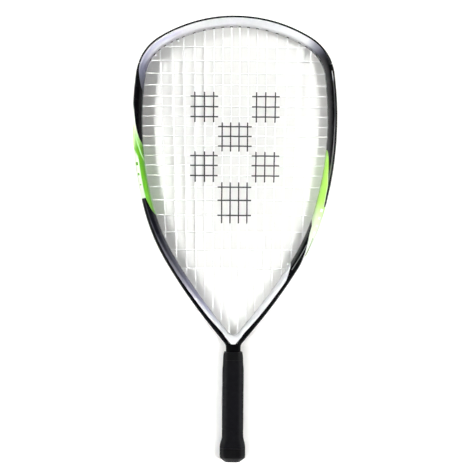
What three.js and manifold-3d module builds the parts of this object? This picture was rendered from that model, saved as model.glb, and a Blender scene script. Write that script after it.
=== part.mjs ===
// A racquetball racket as an assembly of separate solids: a one-piece hairpin frame, its throat bridge,
// bumper guard and grommet strips, the main and cross strings interlaced through them, and the handle
// that is built up on the frame's two legs. Millimetres. +X across the face, +Y towards the head's tip,
// +Z out of the face. The origin is on the ground under the middle of the racket, lying flat.
import * as THREE from "three";
import { mergeVertices } from "three/addons/utils/BufferGeometryUtils.js";
import Module from "manifold-3d";

const { degToRad, lerp, smoothstep } = THREE.MathUtils;

// Overall size and the clearance that pieces keep from each other
const RACKET_LENGTH = 558.8;
const CLEARANCE = 0.3;
const SWEEP_SAG = 0.12;
const CUT_MARGIN = 1;
const LEAST_STEP = 1;

// Outline of one half, from the tip round to the throat: radius and sweep of each arc in turn. The arcs
// keep these proportions, and are fitted to the length that the handle leaves them.
const TIP_ARC = { radius: 183, sweep: 31.1 };
const SHOULDER_ARC = { radius: 62.5, sweep: 51.2 };
const SIDE_ARC = { radius: 432, sweep: 23.1 };
const LOWER_SIDE_ARC = { radius: 260, sweep: 15.4 };
const THROAT_SIDE_ARC = { radius: 650, sweep: 8.6 };
const NECK_WIDTH = 18.6;
const NECK_FILLET = 7;

// Frame section
const FRAME_WIDTH = 12;
const FRAME_DEPTH = 22;
const FRAME_CORNER = 5;
const FRAME_EDGE = 1;
const LEG_DEPTH = 20;
const LEG_GAP = 0.4;
const LEG_NARROWING = 14;
const LEG_END_INSET = 12;

// Bumper guard, grommet strips and the groove that seats them
const BUMPER_THICKNESS = 1.2;
const BUMPER_WRAP = 30;
const CHANNEL_HALF = 2.7;
const CHANNEL_WALL = 0.8;
const CHANNEL_FLOOR = 2.5;
const SIDE_STRIP_INSET = 0.6;
const STRIP_JOINT = 0.8;
const GROOVE_RUN_OUT = 9;
const GROOVE_DRAFT = 0.2;
const BARREL_RADIUS = 1.7;
const BARREL_PROTRUSION = 0.9;
const STRING_BEND_HEIGHT = 0.7;

// Throat bridge
const BRIDGE_RADIUS = 8;
const BRIDGE_DEPTH = 20;
const BRIDGE_EDGE = 0.5;
const BRIDGE_STEPS = 8;

// Strings: diameter, spacing and fan of the mains, spacing of the crosses
const STRING_DIAMETER = 1.3;
const STRING_SIDES = 4;
const MAINS_PER_SIDE = 8;
const CROSSES = 19;
const MAIN_PITCH = 10.6;
const MAIN_PITCH_GROWTH = 3.5;
const MAIN_GROWTH_POWER = 1.6;
const MAIN_FAN = 2.25;
const MAIN_FAN_LEVEL = 180;
const FIRST_CROSS = 38.8;
const CROSS_PITCH = 12.2;
const CROSS_TOP_GROWTH = 5.2;
const CROSS_TOP_GAPS = 8;
const CROSS_TOP_POWER = 2.6;
const CROSS_BOTTOM_GROWTH = 11;
const CROSS_EVEN_GAPS = 10;
const LANE_OFFSET = 1.7;
const KNOT_RADIUS = 1.3;
const KNOT_LENGTH = 2.6;
const KNOT_BEVEL = 0.5;

// Handle, from where the legs run side by side down to the butt's end
const HANDLE_LENGTH = 144.2;
const NECK_LENGTH = 9.4;
const PALLET_WIDTH = 23.6;
const PALLET_DEPTH = 22.8;
const PALLET_CORNER = 5;
const GRIP_THICKNESS = 1.6;
const GRIP_INSET = 7.2;
const GRIP_TAPER = 15;
const GRIP_TOP_SLIM = 0.8;
const GRIP_PITCH = 24;
const GRIP_SEAM_WIDTH = 1.4;
const GRIP_SEAM_DEPTH = 0.5;
const FLARE_LENGTH = 14;
const FLARE_HEIGHT = 2.6;
const COLLAR_LENGTH = 10;
const COLLAR_SHOULDER = 2;
const COLLAR_SLIM = 1.5;
const BUTT_HEIGHT = 18.1;
const BUTT_SLEEVE = 9.7;
const BUTT_LIP = 16;
const BUTT_END_WIDTH = 16.8;
const BUTT_CHAMFER = 6.6;
const BUTT_WALL = 3;
const BUTT_EDGE = 2;
const CORD_HOLE = 8;
const CORD_HOLE_SIDES = 12;
const STAPLE_WIDTH = 9;
const STAPLE_WIRE = 0.9;
const STAPLE_LEG = 4.5;
const STAPLE_LEVEL = 3.5;

const HALF_LENGTH = RACKET_LENGTH / 2;
const NECK_LEVEL = RACKET_LENGTH - HANDLE_LENGTH;
const STRING_RADIUS = STRING_DIAMETER / 2;
const LIP_DEPTH = BUTT_LIP + (PALLET_DEPTH - PALLET_WIDTH) / 2;
const WEAVE = STRING_RADIUS + CLEARANCE / 2;
const LEG_WIDTH = (NECK_WIDTH - LEG_GAP) / 2;
const GROOVE_HALF = CHANNEL_HALF + CHANNEL_WALL + CLEARANCE;
const GROOVE_FLOOR = CHANNEL_FLOOR + CHANNEL_WALL + CLEARANCE;
const BUMPER_SEAT = BUMPER_THICKNESS + CLEARANCE;
const STRING_SEAT = CHANNEL_FLOOR - CLEARANCE - STRING_RADIUS;
const BARREL = { sides: 6, radius: BARREL_RADIUS };
const BORE = { sides: 4, radius: STRING_RADIUS + CLEARANCE * Math.SQRT2 };
const FRAME_HOLE = { sides: 4, radius: (BARREL_RADIUS + CLEARANCE) * Math.SQRT2, turn: Math.PI / 4 };

const wasm = await Module();
wasm.setup();

// Solids for cutting and joining, and their way back to geometry

function solid(geometry) {
  const bare = geometry.clone();
  bare.deleteAttribute("normal");
  bare.deleteAttribute("uv");
  const merged = mergeVertices(bare, 1e-4);
  const mesh = new wasm.Mesh({
    numProp: 3,
    vertProperties: new Float32Array(merged.attributes.position.array),
    triVerts: new Uint32Array(merged.index.array),
  });
  return new wasm.Manifold(mesh);
}

function geometryOf(manifold) {
  const { vertProperties, triVerts } = manifold.getMesh();
  const geometry = new THREE.BufferGeometry();
  geometry.setAttribute("position", new THREE.BufferAttribute(vertProperties, 3));
  geometry.setIndex(new THREE.BufferAttribute(triVerts, 1));
  return geometry;
}

const joined = (first, others) => others.reduce((whole, next) => whole.add(next), first);
const cut = (first, tools) => tools.reduce((rest, tool) => rest.subtract(tool), first);

// The tube through a list of closed rings with the same number of points, capped at both ends.
// Seen along the way that the rings go, each ring runs clockwise.
function loft(rings, capShape) {
  const count = rings[0].length;
  const index = [];
  for (let k = 0; k + 1 < rings.length; k++) {
    for (let i = 0; i < count; i++) {
      const a = k * count + i;
      const b = k * count + ((i + 1) % count);
      index.push(a, b, a + count, b, b + count, a + count);
    }
  }
  const shape = capShape ?? rings[0].map((point, i) => capPoint(i, count));
  const last = (rings.length - 1) * count;
  for (const [a, b, c] of THREE.ShapeUtils.triangulateShape(shape, [])) {
    index.push(c, b, a);
    index.push(last + a, last + b, last + c);
  }
  const geometry = new THREE.BufferGeometry().setFromPoints(rings.flat());
  geometry.setIndex(index);
  return geometry;
}

function capPoint(i, count) {
  const angle = (2 * Math.PI * i) / count;
  return new THREE.Vector2(Math.cos(angle), Math.sin(angle));
}

// The outline: a walk of arcs and straights from the tip, on the +X side. Turns to the right are positive.
// The fit scales the arcs of the head.

function walkOutline(fit) {
  const walk = [];
  let start = 0;
  let x = 0;
  let y = HALF_LENGTH;
  let heading = 0;
  const arc = (radius, turn) => {
    walk.push({ start, x, y, heading, radius });
    const end = heading - turn;
    x += radius * (Math.sin(heading) - Math.sin(end));
    y += radius * (Math.cos(end) - Math.cos(heading));
    heading = end;
    start += radius * turn;
  };
  const straight = (length) => {
    walk.push({ start, x, y, heading, radius: 0 });
    x += length * Math.cos(heading);
    y += length * Math.sin(heading);
    start += length;
  };
  for (const { radius, sweep } of [TIP_ARC, SHOULDER_ARC, SIDE_ARC, LOWER_SIDE_ARC, THROAT_SIDE_ARC]) {
    arc(fit * radius, degToRad(sweep));
  }
  const lastTurn = Math.PI / 2 + heading;
  const filletX = NECK_WIDTH / 2 + NECK_FILLET * (1 - Math.cos(lastTurn));
  straight((x - filletX) / -Math.cos(heading));
  const filletStart = start;
  arc(-NECK_FILLET, lastTurn);
  const filletEnd = start;
  const neckLevel = HALF_LENGTH - y;
  straight(y + HALF_LENGTH - LEG_END_INSET);
  return { walk, filletStart, filletEnd, neckLevel, end: start };
}

const HEAD_FIT = wayWhere((fit) => walkOutline(fit).neckLevel - NECK_LEVEL, 0.5, 2);
const OUTLINE = walkOutline(HEAD_FIT);
const WIDEST = OUTLINE.walk[2].start;

// The point at a way along the outline and a depth in from it; a negative way is on the -X side
function at(way, depth, z = 0) {
  const length = Math.abs(way);
  const piece = OUTLINE.walk.findLast((entry) => entry.start <= length) ?? OUTLINE.walk[0];
  const gone = length - piece.start;
  const heading = piece.radius ? piece.heading - gone / piece.radius : piece.heading;
  let { x, y } = piece;
  if (piece.radius) {
    x += piece.radius * (Math.sin(piece.heading) - Math.sin(heading));
    y += piece.radius * (Math.cos(heading) - Math.cos(piece.heading));
  } else {
    x += gone * Math.cos(heading);
    y += gone * Math.sin(heading);
  }
  const side = way < 0 ? -1 : 1;
  return new THREE.Vector3(side * (x + depth * Math.sin(heading)), y - depth * Math.cos(heading), z);
}

// The value between two limits, such as a way, at which a rising or falling measure crosses zero
function wayWhere(measure, from, to) {
  const sign = Math.sign(measure(from));
  let [low, high] = [from, to];
  for (let step = 0; step < 50; step++) {
    const middle = (low + high) / 2;
    if (Math.sign(measure(middle)) === sign) low = middle;
    else high = middle;
  }
  return (low + high) / 2;
}

// The stations that every sweep along the outline shares, close enough for chords to leave the arcs by
// no more than the sag; a sweep between two ways takes those between them
const STATIONS = OUTLINE.walk.flatMap((piece, i) => {
  const next = OUTLINE.walk[i + 1]?.start ?? OUTLINE.end;
  const turnStep = piece.radius ? 2 * Math.acos(1 - SWEEP_SAG / Math.abs(piece.radius)) : Infinity;
  const turn = piece.radius ? (next - piece.start) / Math.abs(piece.radius) : 0;
  const steps = Math.max(1, Math.ceil(turn / turnStep));
  return Array.from({ length: steps }, (_, k) => lerp(piece.start, next, k / steps));
});

function waysBetween(from, to) {
  return [from, ...STATIONS.filter((way) => way > from + LEAST_STEP && way < to - LEAST_STEP), to];
}

// Frame width and depth at a way along the outline: the tube narrows from the throat into the legs
function frameWidth(way) {
  const from = OUTLINE.filletStart - LEG_NARROWING;
  return lerp(FRAME_WIDTH, LEG_WIDTH, smoothstep(way, from, OUTLINE.filletEnd));
}

function frameDepth(way) {
  return lerp(FRAME_DEPTH, LEG_DEPTH, smoothstep(way, OUTLINE.filletStart, OUTLINE.filletEnd));
}

// String layout, fitted to the head as the arcs are

function mainOffset(index) {
  let offset = MAIN_PITCH / 2;
  for (let gap = 1; gap <= index; gap++) {
    offset += MAIN_PITCH + MAIN_PITCH_GROWTH * ((gap - 1) / (MAINS_PER_SIDE - 2)) ** MAIN_GROWTH_POWER;
  }
  return HEAD_FIT * offset;
}

function crossLevel(index) {
  let level = FIRST_CROSS;
  for (let gap = 0; gap < index; gap++) {
    const towardsTop = Math.max(0, (CROSS_TOP_GAPS - gap) / CROSS_TOP_GAPS);
    level += CROSS_PITCH + CROSS_TOP_GROWTH * towardsTop ** CROSS_TOP_POWER;
    level += CROSS_BOTTOM_GROWTH * smoothstep(gap, CROSS_EVEN_GAPS, CROSSES - 2);
  }
  return HALF_LENGTH - HEAD_FIT * level;
}

const innerEdge = (way) => at(way, frameWidth(way));
const mouth = (way) => at(way, frameWidth(Math.abs(way)) + BARREL_PROTRUSION + STRING_BEND_HEIGHT);

// One half's mains: x on the line at a height y, and the holes at the head and at the throat
function layMain(index) {
  const offset = mainOffset(index);
  const fan = Math.tan(degToRad(MAIN_FAN * (index / (MAINS_PER_SIDE - 1)) ** 2));
  const xAt = (y) => offset + (y - HALF_LENGTH + HEAD_FIT * MAIN_FAN_LEVEL) * fan;
  const beside = (way) => mouth(way).x - xAt(mouth(way).y);
  const head = wayWhere(beside, 0, WIDEST);
  const throat = wayWhere(beside, WIDEST, OUTLINE.filletStart);
  return { xAt, head, throat };
}

function layCross(index) {
  const y = crossLevel(index);
  return { y, way: wayWhere((way) => mouth(way).y - y, 0, OUTLINE.filletStart) };
}

const MAINS = Array.from({ length: MAINS_PER_SIDE }, (_, i) => layMain(i));
const CROSS_ROWS = Array.from({ length: CROSSES }, (_, i) => layCross(i));

// Tie-off holes: one for each loose end, half way between two string holes near it
const halfWay = (one, other) => (one + other) / 2;
const MAIN_TIE = halfWay(MAINS.at(-1).head, CROSS_ROWS[1].way);
const TOP_CROSS_TIE = -halfWay(MAINS.at(-3).head, MAINS.at(-2).head);
const BOTTOM_CROSS_TIE = halfWay(MAINS.at(-2).throat, CROSS_ROWS.at(-1).way);

// The plastic strips meet half way between two holes
const BUMPER_REACH = halfWay(CROSS_ROWS[1].way, CROSS_ROWS[2].way);
const SIDE_STRIP_END = halfWay(MAINS.at(-1).throat, CROSS_ROWS.at(-2).way);

// Every string hole, as a signed way along the outline
function holeWays() {
  const ways = [TOP_CROSS_TIE, BOTTOM_CROSS_TIE];
  for (const side of [-1, 1]) {
    ways.push(side * MAIN_TIE);
    for (const main of MAINS) ways.push(side * main.head, side * main.throat);
    for (const cross of CROSS_ROWS) ways.push(side * cross.way);
  }
  return ways.sort((a, b) => a - b);
}

const HOLES = holeWays();
const LAST_HOLE = Math.max(...HOLES);

// A prism square to the frame at a hole, between two depths in from the outline. A turn of 0 puts a
// corner of its section on the middle plane.
function holePrism(way, { sides, radius, turn = 0 }, fromDepth, toDepth) {
  const start = at(way, fromDepth);
  const finish = at(way, toDepth);
  const inward = finish.clone().sub(start).normalize();
  const along = new THREE.Vector3(-inward.y, inward.x, 0);
  const up = new THREE.Vector3(0, 0, 1);
  const ring = (centre) =>
    Array.from({ length: sides }, (_, i) => {
      const angle = turn + (2 * Math.PI * i) / sides;
      return centre
        .clone()
        .addScaledVector(along, radius * Math.cos(angle))
        .addScaledVector(up, radius * Math.sin(angle));
    });
  return solid(loft([ring(start), ring(finish)]));
}

// Frame

// One half of the section at a way, as [depth in from the outline, z], from the groove round to the inside
function frameSection(way) {
  const seat = way < BUMPER_REACH ? BUMPER_SEAT : 0;
  const width = frameWidth(way);
  const half = frameDepth(way) / 2;
  const runOut = smoothstep(way, LAST_HOLE + GROOVE_RUN_OUT / 2, LAST_HOLE + GROOVE_RUN_OUT);
  const floor = lerp(GROOVE_FLOOR, seat, runOut);
  const corner = FRAME_CORNER;
  const inner = Math.min(FRAME_CORNER, width - FRAME_CORNER - seat - FRAME_EDGE);
  const points = [[floor, GROOVE_HALF], [seat, GROOVE_HALF + GROOVE_DRAFT]];
  for (const turn of [0, 45, 90]) {
    const a = degToRad(turn);
    points.push([seat + corner * (1 - Math.cos(a)), half - corner + corner * Math.sin(a)]);
  }
  for (const turn of [90, 45, 0]) {
    const a = degToRad(turn);
    points.push([width - inner * (1 - Math.cos(a)), half - inner + inner * Math.sin(a)]);
  }
  return points;
}

function frameRing(way) {
  const half = frameSection(Math.abs(way));
  const far = half.map(([depth, z]) => [depth, -z]).reverse();
  return [...half, ...far].map(([depth, z]) => at(way, depth, z));
}

function mirroredSweep(ways, ringAt) {
  const left = ways.filter((way) => way > 0).reverse().map((way) => ringAt(-way));
  return [...left, ...ways.map(ringAt)];
}

function frameTube() {
  const step = STRIP_JOINT / 2;
  const ways = waysBetween(0, OUTLINE.end).filter((way) => Math.abs(way - BUMPER_REACH) > 2 * step);
  ways.push(BUMPER_REACH - step, BUMPER_REACH + step);
  ways.push(LAST_HOLE + GROOVE_RUN_OUT / 2, LAST_HOLE + GROOVE_RUN_OUT);
  ways.push(OUTLINE.filletStart - LEG_NARROWING);
  ways.sort((a, b) => a - b);
  const cap = frameSection(OUTLINE.end);
  const capShape = [...cap, ...cap.map(([depth, z]) => [depth, -z]).reverse()];
  const geometry = loft(mirroredSweep(ways, frameRing), capShape.map(([u, z]) => new THREE.Vector2(u, -z)));
  const through = (way) => frameWidth(Math.abs(way)) + CUT_MARGIN;
  const holes = HOLES.map((way) => holePrism(way, FRAME_HOLE, CUT_MARGIN, through(way)));
  return cut(solid(geometry), [...holes, ...stapleSlots()]);
}

// Throat bridge: the small web between the legs, hollowed to a round at the foot of the string bed
function throatBridge() {
  const legAngle = -Math.PI / 2 - OUTLINE.walk.at(-3).heading;
  const apex = innerApex();
  const centreY = apex + BRIDGE_RADIUS / Math.sin(legAngle);
  const tangent = Math.PI / 2 - legAngle - Math.acos(1 - BRIDGE_EDGE / BRIDGE_RADIUS);
  const besideMains = mainOffset(0) - STRING_RADIUS - CLEARANCE;
  const edge = Math.min(tangent, Math.asin(besideMains / BRIDGE_RADIUS));
  const shape = new THREE.Shape();
  const sides = [];
  const top = centreY - BRIDGE_RADIUS * Math.cos(edge);
  const topWay = wayWhere((way) => innerEdge(way).y - top, WIDEST, OUTLINE.filletStart);
  for (let k = 0; k <= BRIDGE_STEPS; k++) {
    const way = lerp(topWay, OUTLINE.filletEnd, k / BRIDGE_STEPS);
    const face = at(way, frameWidth(way) + CLEARANCE);
    if (face.x > BRIDGE_EDGE && face.y < top) sides.push(face);
  }
  sides.forEach((face, k) => (k ? shape.lineTo(face.x, face.y) : shape.moveTo(face.x, face.y)));
  sides.reverse().forEach((face) => shape.lineTo(-face.x, face.y));
  for (let k = 0; k <= BRIDGE_STEPS; k++) {
    const a = lerp(-edge, edge, k / BRIDGE_STEPS);
    shape.lineTo(BRIDGE_RADIUS * Math.sin(a), centreY - BRIDGE_RADIUS * Math.cos(a));
  }
  const web = new THREE.ExtrudeGeometry(shape, { depth: BRIDGE_DEPTH, bevelEnabled: false });
  web.translate(0, 0, -BRIDGE_DEPTH / 2);
  const near = HOLES.filter((way) => Math.abs(way) > LAST_HOLE - CUT_MARGIN);
  const reach = FRAME_WIDTH + BRIDGE_RADIUS;
  return cut(solid(web), near.map((way) => holePrism(way, FRAME_HOLE, CUT_MARGIN, reach)));
}

// Where the legs' inner faces would meet if they ran on straight
function innerApex() {
  const low = innerEdge(OUTLINE.filletStart - LEG_NARROWING);
  const heading = OUTLINE.walk.at(-3).heading;
  return low.y - (low.x * Math.sin(heading)) / Math.cos(heading);
}

// Bumper guard and grommet strips

function stripRing(way, section) {
  const far = section.map(([depth, z]) => [depth, -z]).reverse();
  return [...section, ...far].map(([depth, z]) => at(way, depth, z));
}

const CHANNEL_OUTER = CHANNEL_HALF + CHANNEL_WALL;

function bumperSection() {
  const seatCorner = BUMPER_SEAT + FRAME_CORNER;
  const shoulder = FRAME_DEPTH / 2 - FRAME_CORNER;
  const bend = (radius, turn) => {
    const a = degToRad(turn);
    return [seatCorner - radius * Math.cos(a), shoulder + radius * Math.sin(a)];
  };
  const outside = seatCorner;
  const inside = FRAME_CORNER + CLEARANCE;
  return [
    [CHANNEL_FLOOR, CHANNEL_HALF],
    [0, CHANNEL_HALF],
    bend(outside, 0),
    bend(outside, BUMPER_WRAP),
    bend(inside, BUMPER_WRAP),
    bend(inside, 0),
    [BUMPER_THICKNESS, CHANNEL_OUTER],
    [CHANNEL_FLOOR + CHANNEL_WALL, CHANNEL_OUTER],
  ];
}

function sideStripSection() {
  return [
    [CHANNEL_FLOOR, CHANNEL_HALF],
    [SIDE_STRIP_INSET, CHANNEL_HALF],
    [SIDE_STRIP_INSET, CHANNEL_OUTER],
    [CHANNEL_FLOOR + CHANNEL_WALL, CHANNEL_OUTER],
  ];
}

// A strip with a barrel at each of its holes, bored for the string
function withBarrels(strip, holes) {
  const floor = CHANNEL_FLOOR + CHANNEL_WALL / 2;
  const end = (way) => frameWidth(Math.abs(way)) + BARREL_PROTRUSION;
  const barrels = holes.map((way) => holePrism(way, BARREL, floor, end(way)));
  const bores = holes.map((way) => holePrism(way, BORE, CHANNEL_FLOOR - CUT_MARGIN, end(way) + CUT_MARGIN));
  return cut(joined(strip, barrels), bores);
}

function sectionShape(section) {
  const far = section.map(([depth, z]) => [depth, -z]).reverse();
  return [...section, ...far].map(([u, z]) => new THREE.Vector2(u, -z));
}

function bumperGuard() {
  const reach = BUMPER_REACH - STRIP_JOINT;
  const section = bumperSection();
  const rings = mirroredSweep(waysBetween(0, reach), (way) => stripRing(way, section));
  const holes = HOLES.filter((way) => Math.abs(way) < reach);
  return withBarrels(solid(loft(rings, sectionShape(section))), holes);
}

function grommetStrip(side, from, to) {
  const section = sideStripSection();
  let ways = waysBetween(from, to).map((way) => side * way);
  if (side < 0) ways = ways.reverse();
  const rings = ways.map((way) => stripRing(way, section));
  const holes = HOLES.filter((way) => side * way > from && side * way < to);
  return withBarrels(solid(loft(rings, sectionShape(section))), holes);
}

// Strings

// A string as one tube of four sides through a list of points, each with its own radius.
// At a corner the ring lies in the plane that halves it.
function stringTube(points) {
  const up = new THREE.Vector3(0, 0, 1);
  const rings = points.map((point, k) => {
    const before = (points[k - 1] ?? point).at;
    const after = (points[k + 1] ?? point).at;
    const into = point.at.clone().sub(before).normalize();
    const out = after.clone().sub(point.at).normalize();
    const way = into.clone().add(out).normalize();
    const side = new THREE.Vector3().crossVectors(way, up).normalize();
    const top = new THREE.Vector3().crossVectors(side, way);
    const widen = 1 / Math.max(0.75, way.dot(out.lengthSq() ? out : into));
    return Array.from({ length: STRING_SIDES }, (_, i) => {
      const angle = (-2 * Math.PI * i) / STRING_SIDES;
      return point.at
        .clone()
        .addScaledVector(side, point.radius * widen * Math.cos(angle))
        .addScaledVector(top, point.radius * Math.sin(angle));
    });
  });
  return loft(rings);
}

const plain = (at3) => ({ at: at3, radius: STRING_RADIUS });

// From inside the head out through a hole to just above the floor of the channel
const channelEnd = (way) => plain(at(way, CHANNEL_FLOOR - STRING_RADIUS / 2));
const outThrough = (way) => [plain(mouth(way)), channelEnd(way)];

// Round the channel from one hole to the next, in the lane beside the middle
function loopAlong(fromWay, toWay, lane) {
  const step = Math.sign(toWay - fromWay) * STRING_DIAMETER * 1.5;
  const [low, high] = [fromWay + step, toWay - step].sort((a, b) => a - b);
  const between = (way) => way > low + LEAST_STEP && way < high - LEAST_STEP;
  const bends = STATIONS.flatMap((way) => [-way, way]).filter(between);
  bends.sort((a, b) => Math.sign(step) * (a - b));
  const ways = [fromWay + step, ...new Set(bends), toWay - step];
  return ways.map((way) => plain(at(way, STRING_SEAT, lane)));
}

// A loose end: in again through its tie-off hole, and a knot inside the head
function tieOff(fromWay, toWay, lane) {
  const rim = frameWidth(Math.abs(toWay)) + BARREL_PROTRUSION + CLEARANCE;
  const knot = [
    [0, STRING_RADIUS],
    [KNOT_BEVEL, KNOT_RADIUS],
    [KNOT_LENGTH - KNOT_BEVEL, KNOT_RADIUS],
    [KNOT_LENGTH, STRING_RADIUS],
  ].map(([depth, radius]) => ({ at: at(toWay, rim + depth), radius }));
  return [...loopAlong(fromWay, toWay, lane), channelEnd(toWay), ...knot];
}

// The mains from left to right, as x at a height and signed ways of the two holes
function mainRuns() {
  const mirrored = ({ xAt, head, throat }) => ({ xAt: (y) => -xAt(y), head: -head, throat: -throat });
  const left = MAINS.map(mirrored);
  return [...left.reverse(), ...MAINS];
}

const RUNS = mainRuns();

// Whether a cross passes over or under a main, as the side of the string plane that the main takes
const mainSide = (main, cross) => ((main + cross) % 2 ? -1 : 1);

// The crosses that a main meets between its two mouths
function meets(run, cross) {
  const margin = 2 * STRING_DIAMETER;
  const x = run.xAt(cross.y);
  return Math.abs(x) < mouth(cross.way).x - margin && cross.y > mouth(Math.abs(run.throat)).y + margin;
}

function mainCrossings(index) {
  const run = RUNS[index];
  const points = [];
  CROSS_ROWS.forEach((cross, row) => {
    if (!meets(run, cross)) return;
    const z = mainSide(index, row) * WEAVE;
    points.push(plain(new THREE.Vector3(run.xAt(cross.y), cross.y, z)));
  });
  return points;
}

function crossCrossings(row) {
  const cross = CROSS_ROWS[row];
  const points = [];
  RUNS.forEach((run, index) => {
    if (!meets(run, cross)) return;
    const z = -mainSide(index, row) * WEAVE;
    points.push(plain(new THREE.Vector3(run.xAt(cross.y), cross.y, z)));
  });
  return points;
}

// The main string: down and up the runs in turn, looping in the channel between neighbours, with the
// middle loop at the head and both ends tied off at the head
function mainStringPoints() {
  const points = tieOff(RUNS[0].head, -MAIN_TIE, LANE_OFFSET).reverse();
  RUNS.forEach((run, index) => {
    const downwards = index % 2 === 0;
    const crossings = mainCrossings(index);
    if (!downwards) crossings.reverse();
    const [first, last] = downwards ? [run.head, run.throat] : [run.throat, run.head];
    points.push(...outThrough(first).reverse(), ...crossings, ...outThrough(last));
    const next = RUNS[index + 1];
    if (next) points.push(...loopAlong(last, downwards ? next.throat : next.head, LANE_OFFSET));
    else points.push(...tieOff(last, MAIN_TIE, LANE_OFFSET));
  });
  return points;
}

// The cross string: from the top row down, row by row, looping in the other lane
function crossStringPoints() {
  const points = tieOff(-CROSS_ROWS[0].way, TOP_CROSS_TIE, -LANE_OFFSET).reverse();
  CROSS_ROWS.forEach((cross, row) => {
    const side = row % 2 === 0 ? 1 : -1;
    const crossings = crossCrossings(row);
    if (side < 0) crossings.reverse();
    points.push(...outThrough(-side * cross.way).reverse(), ...crossings, ...outThrough(side * cross.way));
    const next = CROSS_ROWS[row + 1];
    if (next) points.push(...loopAlong(side * cross.way, side * next.way, -LANE_OFFSET));
    else points.push(...tieOff(side * cross.way, side * BOTTOM_CROSS_TIE, -LANE_OFFSET));
  });
  return points;
}

// The least gap between the surfaces of two strings, measured on points spaced along both. A string's
// own neighbouring points are skipped, as far along it as a tight corner reaches.
const NEIGHBOURS = 14;

function leastGap(one, other, skip = 0) {
  const spread = (points) =>
    points.slice(1).flatMap((point, k) => {
      const from = points[k];
      const steps = Math.ceil(point.at.distanceTo(from.at) / STRING_RADIUS);
      return Array.from({ length: steps }, (_, i) => ({
        at: from.at.clone().lerp(point.at, i / steps),
        radius: Math.max(from.radius, point.radius),
      }));
    });
  const [a, b] = [spread(one), spread(other)];
  let least = Infinity;
  a.forEach((p, i) => {
    for (let j = skip ? i + skip : 0; j < b.length; j++) {
      const q = b[j];
      if (Math.abs(p.at.x - q.at.x) > MAIN_PITCH || Math.abs(p.at.y - q.at.y) > MAIN_PITCH) continue;
      least = Math.min(least, p.at.distanceTo(q.at) - p.radius - q.radius);
    }
  });
  return least;
}

// Handle

// A ring of eight corners across the handle at a level from the tip, facing along the way down
function handleRing(level, halfWidth, halfDepth, corner) {
  const c = corner;
  const corners = [
    [halfWidth, c - halfDepth],
    [halfWidth, halfDepth - c],
    [halfWidth - c, halfDepth],
    [c - halfWidth, halfDepth],
    [-halfWidth, halfDepth - c],
    [-halfWidth, c - halfDepth],
    [c - halfWidth, -halfDepth],
    [halfWidth - c, -halfDepth],
  ];
  return corners.map(([x, z]) => new THREE.Vector3(x, HALF_LENGTH - level, z));
}

const PALLET_TOP = NECK_LEVEL + NECK_LENGTH;
const GRIP_TOP = PALLET_TOP + GRIP_INSET;
const GRIP_END = RACKET_LENGTH - BUTT_HEIGHT;
const PALLET_END = GRIP_END - BUTT_SLEEVE;
const PALLET_LENGTH = PALLET_END - PALLET_TOP;
const GRIP_LENGTH = GRIP_END - GRIP_TOP;
const GRIP_WIDTH = PALLET_WIDTH / 2 + GRIP_THICKNESS;
const LEG_HALF = NECK_WIDTH / 2 + CLEARANCE;
const LEG_ROOM = LEG_DEPTH / 2 + CLEARANCE;
const LEG_BEVEL = (2 - Math.SQRT2) * (FRAME_CORNER + CLEARANCE);
const FLARE_TOP = GRIP_END - FLARE_LENGTH;

// How far the handle flares out towards the butt at a level
const flare = (level) => FLARE_HEIGHT * smoothstep(level, FLARE_TOP, GRIP_END);

// The room for the two legs between two levels
function legRoom(fromLevel, toLevel) {
  return solid(loft([fromLevel, toLevel].map((level) => handleRing(level, LEG_HALF, LEG_ROOM, LEG_BEVEL))));
}

// One half of the handle's core: a trough round the two legs, with the bevels of the handle outside
function handlePallet(side) {
  const width = PALLET_WIDTH / 2;
  const depth = PALLET_DEPTH / 2;
  const shape = new THREE.Shape();
  const outline = [
    [width, CLEARANCE / 2],
    [width, depth - PALLET_CORNER],
    [width - PALLET_CORNER, depth],
    [PALLET_CORNER - width, depth],
    [-width, depth - PALLET_CORNER],
    [-width, CLEARANCE / 2],
    [-LEG_HALF, CLEARANCE / 2],
    [-LEG_HALF, LEG_ROOM - LEG_BEVEL],
    [LEG_BEVEL - LEG_HALF, LEG_ROOM],
    [LEG_HALF - LEG_BEVEL, LEG_ROOM],
    [LEG_HALF, LEG_ROOM - LEG_BEVEL],
    [LEG_HALF, CLEARANCE / 2],
  ];
  outline.forEach(([x, z], i) => (i ? shape.lineTo(x, z) : shape.moveTo(x, z)));
  const pallet = new THREE.ExtrudeGeometry(shape, { depth: PALLET_LENGTH, bevelEnabled: false });
  pallet.rotateX(Math.PI / 2);
  pallet.translate(0, HALF_LENGTH - PALLET_TOP, 0);
  if (side < 0) pallet.rotateY(Math.PI);
  return pallet;
}

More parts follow.
